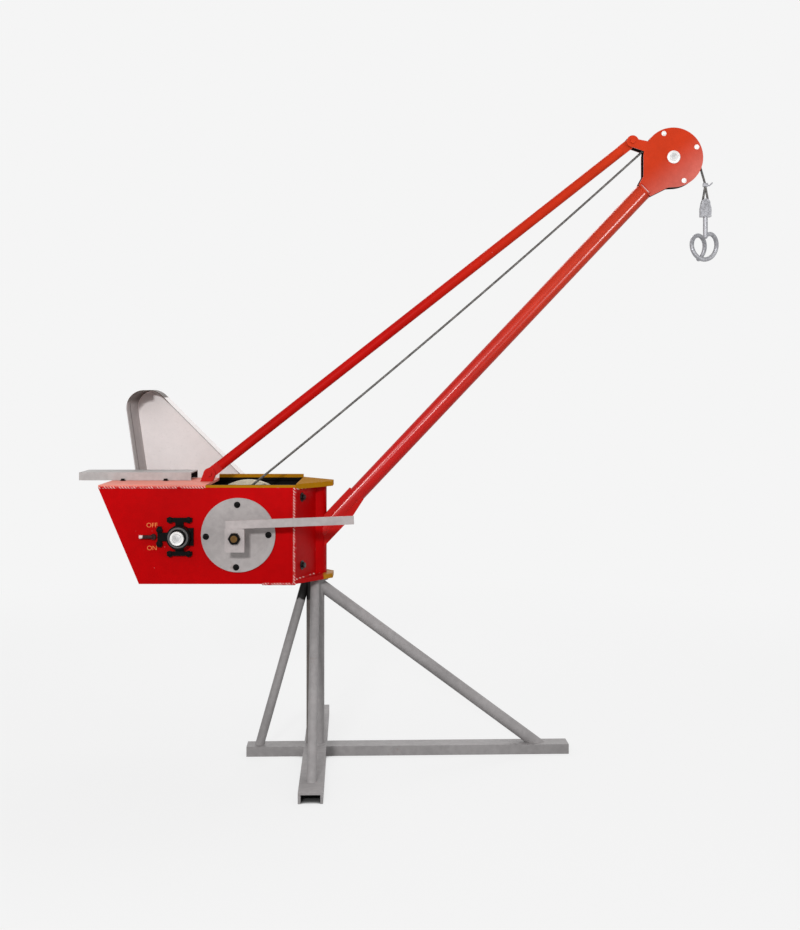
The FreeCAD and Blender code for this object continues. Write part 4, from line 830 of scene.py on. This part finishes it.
def bowed(start, slope, end, end_slope, step):
    """Sagging run whose ends leave along their slopes (rise over reach in X).

    With c where the two end tangents meet, a point is
    (1 - t)^2 * start + 2 * t * (1 - t) * c + t^2 * end, for t from 0 to 1.
    """
    reach = ((end[2] - start[2]) - end_slope * (end[0] - start[0])) / (slope - end_slope)
    meet = np.array([start[0] + reach, start[1], start[2] + slope * reach])
    count = int(np.linalg.norm(end - start) / step)
    t = np.linspace(0, 1, count)[:, None]
    return (1 - t)**2 * start + 2 * t * (1 - t) * meet + t**2 * end


def rope_route(step, sag):
    """Middle lines of the hoist rope: its whole run and the short end at the clip.

    From the winding a sagging run climbs to the sheave, an arc follows the
    sheave to its front, and the rope leans out to the clip, from where it goes
    round the hook's pin as a drop-shaped eye and back.
    """
    thick = ROPE_RADIUS
    sheave = ROPE_HIGH[2] - thick - SHEAVE[2]
    drum = (WINDING_HIGH[2] - WINDING_LOW[2]) / 2 + thick + ROPE_CLEARANCE
    run, rise = SHEAVE[0] - DRUM[0], SHEAVE[2] - DRUM[2]
    angle = math.atan2(rise, run) + math.asin((sheave - drum) / math.hypot(run, rise))
    bow = 4 * sag / math.hypot(run, rise)
    low, high = angle - bow, angle + bow
    start = DRUM + drum * np.array([-math.sin(low), 0.0, math.cos(low)])
    end = SHEAVE + sheave * np.array([-math.sin(high), 0.0, math.cos(high)])
    clip = middle("rope_clip")
    out = clip - SHEAVE
    leave = math.atan2(out[2], out[0]) + math.acos(sheave / math.hypot(out[0], out[2]))
    parting = SHEAVE + sheave * np.array([math.cos(leave), 0.0, math.sin(leave)])
    eye = ROPE_HIGH[0] - thick - PIN[0]
    spread = math.asin(eye / (clip[2] - PIN[2]))
    rear = PIN + eye * np.array([-math.cos(spread), 0.0, math.sin(spread)])
    front = PIN + eye * np.array([math.cos(spread), 0.0, math.sin(spread)])
    lengths = [
        bowed(start, math.tan(low), end, math.tan(high), step)[:-1],
        arc(SHEAVE, sheave, high + math.pi / 2, leave, step * 0.6)[:-1],
        straight(parting, clip, step)[:-1],
        straight(clip, rear, step)[1:-1],
        arc(PIN, eye, math.pi - spread, 2 * math.pi + spread, step * 0.4)[:-1],
        straight(front, clip - (0.0, 0.0, thick), step),
    ]
    return np.concatenate(lengths), clip


def laid_rope(path, thick, strands, lay):
    """Laid rope: round strands that wind along the path.

    With d the angle to the nearest strand, the radius is
    r0 * cos(d) + sqrt(r1^2 - (r0 * sin(d))^2), where r0 + r1 is the rope's own.
    """
    distance = travelled(path)[:, None]
    angle = around(6 * strands)[None, :]
    share = np.pi / strands
    strand = thick * math.sin(share) / (1 + math.sin(share))
    core = thick - strand
    off = np.mod(angle, 2 * share) - share
    radius = core * np.cos(off) + np.sqrt(np.maximum(strand**2 - (core * np.sin(off))**2, 0))
    return carried(path, radius, angle + 2 * np.pi * distance / lay, (0.0, 1.0, 0.0))


class CRANE_OT_hoist_rope(bpy.types.Operator):
    """Lay the hoist rope from its strands along its route"""
    bl_idname = "crane.hoist_rope"
    bl_label = "Hoist rope"

    def execute(self, context):
        sizes = context.scene.crane_fittings
        path, clip = rope_route(sizes.rope_step, sizes.rope_sag)
        shape = laid_rope(path, ROPE_RADIUS, sizes.rope_strands, sizes.rope_lay)
        rope = piece("laid_hoist_rope", [shape], "jib", look_of("rope_wire"))
        bend = clip + np.array([0.014, 0.0, -0.002])
        tip = clip + np.array([0.024, 0.0, 0.008])
        loose = np.concatenate([straight(clip, bend, 0.0015)[:-1], straight(bend, tip, 0.0015)])
        end = laid_rope(loose, ROPE_RADIUS * 0.55, sizes.rope_strands, sizes.rope_lay * 0.6)
        piece("rope_end", [end], "jib", look_of("zinc"))
        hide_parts("hoist_rope")
        return {"FINISHED"}


class CRANE_OT_winding(bpy.types.Operator):
    """Wind the rope on the drum, turn beside turn"""
    bl_idname = "crane.winding"
    bl_label = "Winding"

    def execute(self, context):
        thick = ROPE_RADIUS
        outer = (WINDING_HIGH[2] - WINDING_LOW[2]) / 2
        inner = corners("drum_barrel")[1][2] - middle("drum_barrel")[2]
        width = WINDING_HIGH[1] - WINDING_LOW[1]
        turns = round(width / (2 * thick))
        angle = around(120)[None, :]
        along = np.linspace(0, 1, turns * 10 + 1)[:, None] * width
        # Radius of the winding: a half-round for each turn, carried on a helix
        off = np.mod(along / (2 * thick) - angle / (2 * np.pi), 1.0) - 0.5
        radius = outer - thick + np.sqrt(np.maximum(thick**2 - (2 * thick * off)**2, 0.0)) * 0.98
        place = np.broadcast_to(WINDING_LOW[1] + along, radius.shape)
        skin = np.stack([DRUM[0] + radius * np.cos(angle), place,
                         DRUM[2] + radius * np.sin(angle)], axis=-1)
        start, end = skin[:1].copy(), skin[-1:].copy()
        for ring in (start, end):
            ring[..., 0] = DRUM[0] + inner * np.cos(angle)
            ring[..., 2] = DRUM[2] + inner * np.sin(angle)
        shape = np.concatenate([start, skin, end])
        wound = piece("wound_turns", [shape], "drum", look_of("rope_wire"))
        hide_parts("wound_rope")
        return {"FINISHED"}


def ring_of(centre, radius, angles, axis):
    """Places on a circle in the XZ plane, each paired with the bolt's direction."""
    angles = np.radians(angles)
    places = np.stack([centre[0] + radius * np.cos(angles),
                       np.full(len(angles), centre[1]),
                       centre[2] + radius * np.sin(angles)], axis=-1)
    return [(place, axis) for place in places]


def bolts(name, places, flats, look_name):
    """Bolt heads at their places, each turned a little differently."""
    shapes = [hexagonal(place, axis, flats, flats * 0.62, turn=0.37 * number)
              for number, (place, axis) in enumerate(places)]
    sharpen(piece(name, shapes, "jib", look_of(look_name)), 25.0)


class CRANE_OT_cover_bolts(bpy.types.Operator):
    """Bolt the drum covers to the side plates"""
    bl_idname = "crane.cover_bolts"
    bl_label = "Cover bolts"

    def execute(self, context):
        sizes = context.scene.crane_fittings
        near = ring_of((DRUM[0] - 0.003, NEAR_FACE - COVER_THICKNESS, DRUM[2] - 0.003),
                       sizes.cover_bolt_circle, [2, 90, 181, 268], (0, -1, 0))
        far = ring_of((DRUM[0], FAR_FACE + COVER_THICKNESS, DRUM[2]), sizes.cover_bolt_circle,
                      [0, 90, 180, 270], (0, 1, 0))
        bolts("cover_bolts", near + far, sizes.cover_bolt_flats,
              "casting_black")
        return {"FINISHED"}


class CRANE_OT_head_bolts(bpy.types.Operator):
    """Bolt the head cheeks together round the sheave"""
    bl_idname = "crane.head_bolts"
    bl_label = "Head bolts"

    def execute(self, context):
        sizes = context.scene.crane_fittings
        places = []
        for face, axis in ((CHEEK_LOW[1], (0, -1, 0)), (CHEEK_HIGH[1], (0, 1, 0))):
            places += ring_of((SHEAVE[0], face, SHEAVE[2]), sizes.head_bolt_circle,
                              [23.8, 111.6, -65.4], axis)
        bolts("head_bolts", places, sizes.head_bolt_flats, "bolt_steel")
        return {"FINISHED"}


class CRANE_OT_bow_bolts(bpy.types.Operator):
    """Bolt the bow plates to the box, two on each side"""
    bl_idname = "crane.bow_bolts"
    bl_label = "Bow bolts"

    def execute(self, context):
        sizes = context.scene.crane_fittings
        back = np.array([BOW_LOW[0], NEAR_FACE])
        nose = np.array([BOW_HIGH[0], -SLEEVE_RADIUS])
        spot = back + 0.30 * (nose - back)
        run = unit(nose - back)
        places = []
        for side in (1, -1):
            axis = (run[1], -run[0] * side, 0.0)
            for share in (0.9, 0.14):
                height = (1 - share) * BOW_LOW[2] + share * BOW_HIGH[2]
                places.append(((spot[0], side * spot[1], height), axis))
        bolts("bow_bolts", places, sizes.bow_bolt_flats, "bolt_black")
        return {"FINISHED"}


class CRANE_OT_small_bolts(bpy.types.Operator):
    """Bolt the bearings' feet and the motor platform"""
    bl_idname = "crane.small_bolts"
    bl_label = "Small bolts"

    def execute(self, context):
        sizes = context.scene.crane_fittings
        offsets = [(-0.03, 0.0545), (0.03, 0.0545), (-0.03, -0.0545), (0.03, -0.0545),
                   (-0.0645, 0.022), (-0.0645, -0.022), (0.034, 0.018), (0.034, -0.018)]
        bearing = []
        for face, axis in ((NEAR_FACE - FOOT_THICKNESS, (0, -1, 0)),
                           (FAR_FACE + FOOT_THICKNESS, (0, 1, 0))):
            bearing += [((COUNTER[0] + x, face, COUNTER[2] + z), axis) for x, z in offsets]
        bolts("bearing_bolts", bearing, sizes.small_bolt_flats, "casting_black")
        deck = [((PLATFORM_LOW[0] + x, PLATFORM_LOW[1] - 0.02, DECK_TOP), (0, 0, 1))
                for x in (0.153, 0.298)]
        bolts("platform_bolts", deck, sizes.small_bolt_flats, "casting_black")
        return {"FINISHED"}


class CRANE_OT_bearing_rings(bpy.types.Operator):
    """Set the bearings' outer rings in their hubs"""
    bl_idname = "crane.bearing_rings"
    bl_label = "Bearing rings"

    def execute(self, context):
        low, high = corners("shaft_bearings")
        shapes = []
        for face, axis in ((low[1], (0, -1, 0)), (high[1], (0, 1, 0))):
            profile = [(0.0275, -0.0005), (0.0278, 0.0012), (0.0325, 0.0012),
                       (0.0332, 0.0005), (0.0332, -0.0005)]
            shapes.append(turned((COUNTER[0], face, COUNTER[2]), axis, profile, 64))
        sharpen(piece("bearing_rings", shapes, "jib", look_of("ring_steel")))
        return {"FINISHED"}


class CRANE_OT_welds(bpy.types.Operator):
    """Run the weld beads along the box, the bow, the boom and the base"""
    bl_idname = "crane.welds"
    bl_label = "Weld beads"

    def execute(self, context):
        sizes = context.scene.crane_fittings
        radius, ripple = sizes.weld_radius, sizes.weld_ripple
        step = ripple / 5
        front, bottom, top = PLATE_HIGH[0], PLATE_LOW[2], PLATE_HIGH[2]
        box = []
        for y in (NEAR_FACE, FAR_FACE):
            seam = front - 1.4 * radius
            runs = [((seam, bottom), (seam, top)), ((PLATE_LOW[0], top), (RIM_START, top)),
                    ((front - 0.11, bottom), (front, bottom))]
            for start, end in runs:
                path = straight((start[0], y, start[1]), (end[0], y, end[1]), step)
                box.append(bead(path, radius, ripple, (0, 1, 0)))
        for side in (-1, 1):
            for z in (BOW_LOW[2], BOW_HIGH[2]):
                path = straight((front, side * FAR_FACE, z),
                                (BOW_HIGH[0], side * SLEEVE_RADIUS, z), step)
                box.append(bead(path, radius * 0.8, ripple, (0, 0, 1)))
        # Across the end of each cheek, where it meets the boom
        reach = SHEAVE[0] - CHEEK_LOW[0]
        for y in (CHEEK_LOW[1], CHEEK_HIGH[1]):
            path = straight((SHEAVE[0] - 0.69 * reach, y, SHEAVE[2] - 0.56 * reach),
                            (SHEAVE[0] - 0.50 * reach, y, SHEAVE[2] - 0.78 * reach), step)
            box.append(bead(path, radius * 0.7, ripple, (0, 1, 0)))
        piece("box_welds", box, "jib", look_of("weld_enamel"))
        angle = np.linspace(0, 2 * np.pi, 360)
        post = np.stack([POST_RADIUS * np.cos(angle), POST_RADIUS * np.sin(angle),
                         np.full(len(angle), LEG_TOP)], axis=-1)
        piece("base_welds", [bead(post, radius, ripple, (0, 0, 1))], "base",
              look_of("base_grey"))
        return {"FINISHED"}


class CRANE_OT_marks(bpy.types.Operator):
    """Paint the plain ON and OFF marks beside the selector"""
    bl_idname = "crane.marks"
    bl_label = "Marks"

    def execute(self, context):
        sizes = context.scene.crane_fittings
        stub = middle("selector_stub")
        for word, rise in (("OFF", 0.036), ("ON", -0.038)):
            letters = bpy.data.curves.new("mark_" + word.lower(), "FONT")
            letters.body = word
            letters.size = sizes.mark_height / 0.72
            letters.align_x, letters.align_y = "CENTER", "CENTER"
            letters.extrude = 0.0003
            made = bpy.data.objects.new("letters", letters)
            context.scene.collection.objects.link(made)
            mesh = bpy.data.meshes.new_from_object(made.evaluated_get(
                context.evaluated_depsgraph_get()))
            bpy.data.objects.remove(made)
            flat = np.empty(len(mesh.vertices) * 3)
            mesh.vertices.foreach_get("co", flat)
            flat = flat.reshape(-1, 3)
            # Stand the word up on the plate's near face: x stays, y becomes z
            upright = np.stack([flat[:, 0] + stub[0] + 0.012, NEAR_FACE - flat[:, 2],
                                flat[:, 1] + stub[2] + rise], axis=-1)
            mesh.vertices.foreach_set("co", upright.ravel())
            mesh.materials.clear()
            mesh.materials.append(look_of("mark_orange"))
            rides(bpy.data.objects.new("mark_" + word.lower(), mesh), "jib")
        return {"FINISHED"}


def only_seen(wiring):
    """One for rays from the camera and from mirrors, nought for lighting rays."""
    path = wiring.add("ShaderNodeLightPath").outputs
    seen = path["Is Camera Ray"]
    for kind in ("Is Glossy Ray", "Is Transmission Ray"):
        seen = wiring.add("ShaderNodeMath", {0: seen, 1: path[kind]},
                          operation="MAXIMUM").outputs[0]
    return seen


def lamp(name, place, target, width, height, power, roll=0.0):
    """Soft lamp that looks at a target, rolled about its line of sight."""
    light = bpy.data.lights.new(name, "AREA")
    light.shape, light.size, light.size_y, light.energy = "RECTANGLE", width, height, power
    made = bpy.data.objects.new(name, light)
    made.location = place
    aim = np.asarray(target, float) - np.asarray(place, float)
    yaw = math.atan2(aim[1], aim[0]) - math.pi / 2
    pitch = math.atan2(aim[2], math.hypot(aim[0], aim[1])) + math.pi / 2
    turn = mathutils.Euler((pitch, 0.0, yaw)).to_matrix()
    made.rotation_euler = (turn @ mathutils.Matrix.Rotation(roll, 3, "Z")).to_euler()
    bpy.context.scene.collection.objects.link(made)
    return made


def floor_finish(brightness):
    """Pale floor that takes a soft shadow and ends in the backdrop's colour.

    What the camera and mirrors see is a share of plain brightness plus the
    lit floor; far from the crane it is all plain brightness.
    """
    finish = Finish("stage_floor")
    links, nodes = finish.tree.links, finish.tree.nodes
    finish.set(Base_Color=(0.11, 0.11, 0.11), Roughness=0.9, Specular_IOR_Level=0.05)
    distance = finish.add("ShaderNodeVectorMath", {0: finish.place}, operation="LENGTH")
    far = finish.ranged(distance.outputs["Value"], 2.2, 4.2)
    seen = only_seen(finish)
    # Painted shade: the floor's plain brightness dims where nearby parts hide it, under the legs
    # and inside the channels
    near = finish.add("ShaderNodeAmbientOcclusion", {"Distance": 0.07}).outputs["AO"]
    glow = finish.ranged(near, 0.1, 0.55, 0.0, brightness - 0.13)
    lift = finish.add("ShaderNodeEmission", {"Color": (1.0, 1.0, 1.0),
                                             "Strength": finish.maths("MULTIPLY", seen, glow)})
    both = finish.add("ShaderNodeAddShader")
    links.new(finish.shader.outputs[0], both.inputs[0])
    links.new(lift.outputs[0], both.inputs[1])
    plain = finish.add("ShaderNodeEmission", {"Color": (1.0, 1.0, 1.0), "Strength": brightness})
    blended = finish.add("ShaderNodeMixShader", {0: far})
    links.new(both.outputs[0], blended.inputs[1])
    links.new(plain.outputs[0], blended.inputs[2])
    links.new(blended.outputs[0], nodes["Material Output"].inputs["Surface"])
    return finish.material


class CRANE_OT_stage(bpy.types.Operator):
    """Set the floor, the lamps and the camera"""
    bl_idname = "crane.stage"
    bl_label = "Stage"

    def execute(self, context):
        stage = context.scene.crane_stage
        angle = around(96)
        radius = np.linspace(0.02, 1.0, 24)[:, None] ** 2 * stage.floor_radius
        # The floor lies half a millimetre below the channels' flanges
        grid = np.stack([radius * np.cos(angle), radius * np.sin(angle),
                         np.full((24, 96), -0.0005)], axis=-1)
        index = np.arange(24 * 96).reshape(24, 96)
        after = np.roll(index, -1, axis=1)
        faces = np.stack([index[:-1], index[1:], after[1:], after[:-1]], axis=-1).reshape(-1, 4)
        mesh = bpy.data.meshes.new("stage_floor")
        mesh.from_pydata(grid.reshape(-1, 3).tolist(), [],
                         faces.tolist() + [index[0].tolist()])
        mesh.materials.append(floor_finish(stage.backdrop))
        floor = bpy.data.objects.new("stage_floor", mesh)
        context.scene.collection.objects.link(floor)
        world = bpy.data.worlds.new("studio")
        world.use_nodes = True
        context.scene.world = world
        wiring = Wiring(world.node_tree)
        strength = wiring.add("ShaderNodeMapRange", {
            "Value": only_seen(wiring), "To Min": stage.sky, "To Max": stage.backdrop})
        sky = world.node_tree.nodes["Background"].inputs
        wiring.feed(sky["Color"], (1.0, 1.0, 1.0))
        wiring.feed(sky["Strength"], strength.outputs[0])
        lamp("key_lamp", (-0.6, -5.2, 2.2), (0.2, 0.0, 1.0), 0.4, 0.3, 135.0)
        lamp("side_lamp", (3.9, -3.2, 1.7), (0.5, 0.0, 1.2), 0.9, 2.6, 25.0)
        # Two strip lamps on one slanted line, seen only in the boom's gloss
        shiny = bpy.data.collections.new("glossy_tube")
        shiny.objects.link(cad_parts["boom_tube"])
        slant, width = math.radians(-21.4), 0.12
        middle_x, front_y, middle_z = 0.63, -5.4, 1.84
        for name, slide, length in (("low_strip", -4.9, 2.4), ("high_strip", 4.05, 1.65)):
            x, z = middle_x + slide * math.cos(slant), middle_z + slide * math.sin(slant)
            strip = lamp(name, (x, front_y, z), (x, 0.0, z), length, width,
                         stage.shine * length, slant)
            strip.visible_diffuse = False
            strip.light_linking.receiver_collection = shiny
        lamp("back_lamp", (0.5, 3.6, 4.2), (0.0, 0.0, 1.0), 3.0, 2.0, 80.0)
        camera = bpy.data.cameras.new("camera")
        camera.lens = stage.lens
        camera.sensor_width = 36.0
        camera.shift_y = stage.rise
        camera.clip_end = 200.0
        eye = bpy.data.objects.new("camera", camera)
        eye.location = tuple(stage.eye)
        eye.rotation_euler = (math.pi / 2, 0.0, 0.0)
        context.scene.collection.objects.link(eye)
        context.scene.camera = eye
        context.scene.view_settings.view_transform = "Standard"
        return {"FINISHED"}


class CRANE_PT_panel(bpy.types.Panel):
    """Steps that dress the crane"""
    bl_label = "Jib Crane"
    bl_idname = "CRANE_PT_panel"
    bl_space_type = "VIEW_3D"
    bl_region_type = "UI"
    bl_category = "Jib Crane"

    def draw(self, context):
        for group in (context.scene.crane_colours, context.scene.crane_fittings,
                      context.scene.crane_stage):
            box = self.layout.box()
            for name in group.bl_rna.properties.keys():
                if name not in ("rna_type", "name"):
                    box.prop(group, name)
        for operator in OPERATORS:
            self.layout.operator(operator.bl_idname)


OPERATORS = (
    CRANE_OT_finishes,
    CRANE_OT_hoist_rope,
    CRANE_OT_winding,
    CRANE_OT_cover_bolts,
    CRANE_OT_head_bolts,
    CRANE_OT_bow_bolts,
    CRANE_OT_small_bolts,
    CRANE_OT_bearing_rings,
    CRANE_OT_welds,
    CRANE_OT_marks,
    CRANE_OT_stage,
)
GROUPS = {"crane_colours": CraneColours, "crane_fittings": CraneFittings,
          "crane_stage": CraneStage}


def register():
    for kind in (*GROUPS.values(), *OPERATORS, CRANE_PT_panel):
        bpy.utils.register_class(kind)
    for name, kind in GROUPS.items():
        setattr(bpy.types.Scene, name, bpy.props.PointerProperty(type=kind))


def unregister():
    for name in GROUPS:
        delattr(bpy.types.Scene, name)
    for kind in (CRANE_PT_panel, *reversed(OPERATORS), *reversed(list(GROUPS.values()))):
        bpy.utils.unregister_class(kind)


def main():
    """Dress the crane step by step."""
    register()
    for operator in OPERATORS:
        area, name = operator.bl_idname.split(".")
        getattr(getattr(bpy.ops, area), name)()


if __name__ == "__main__":
    main()
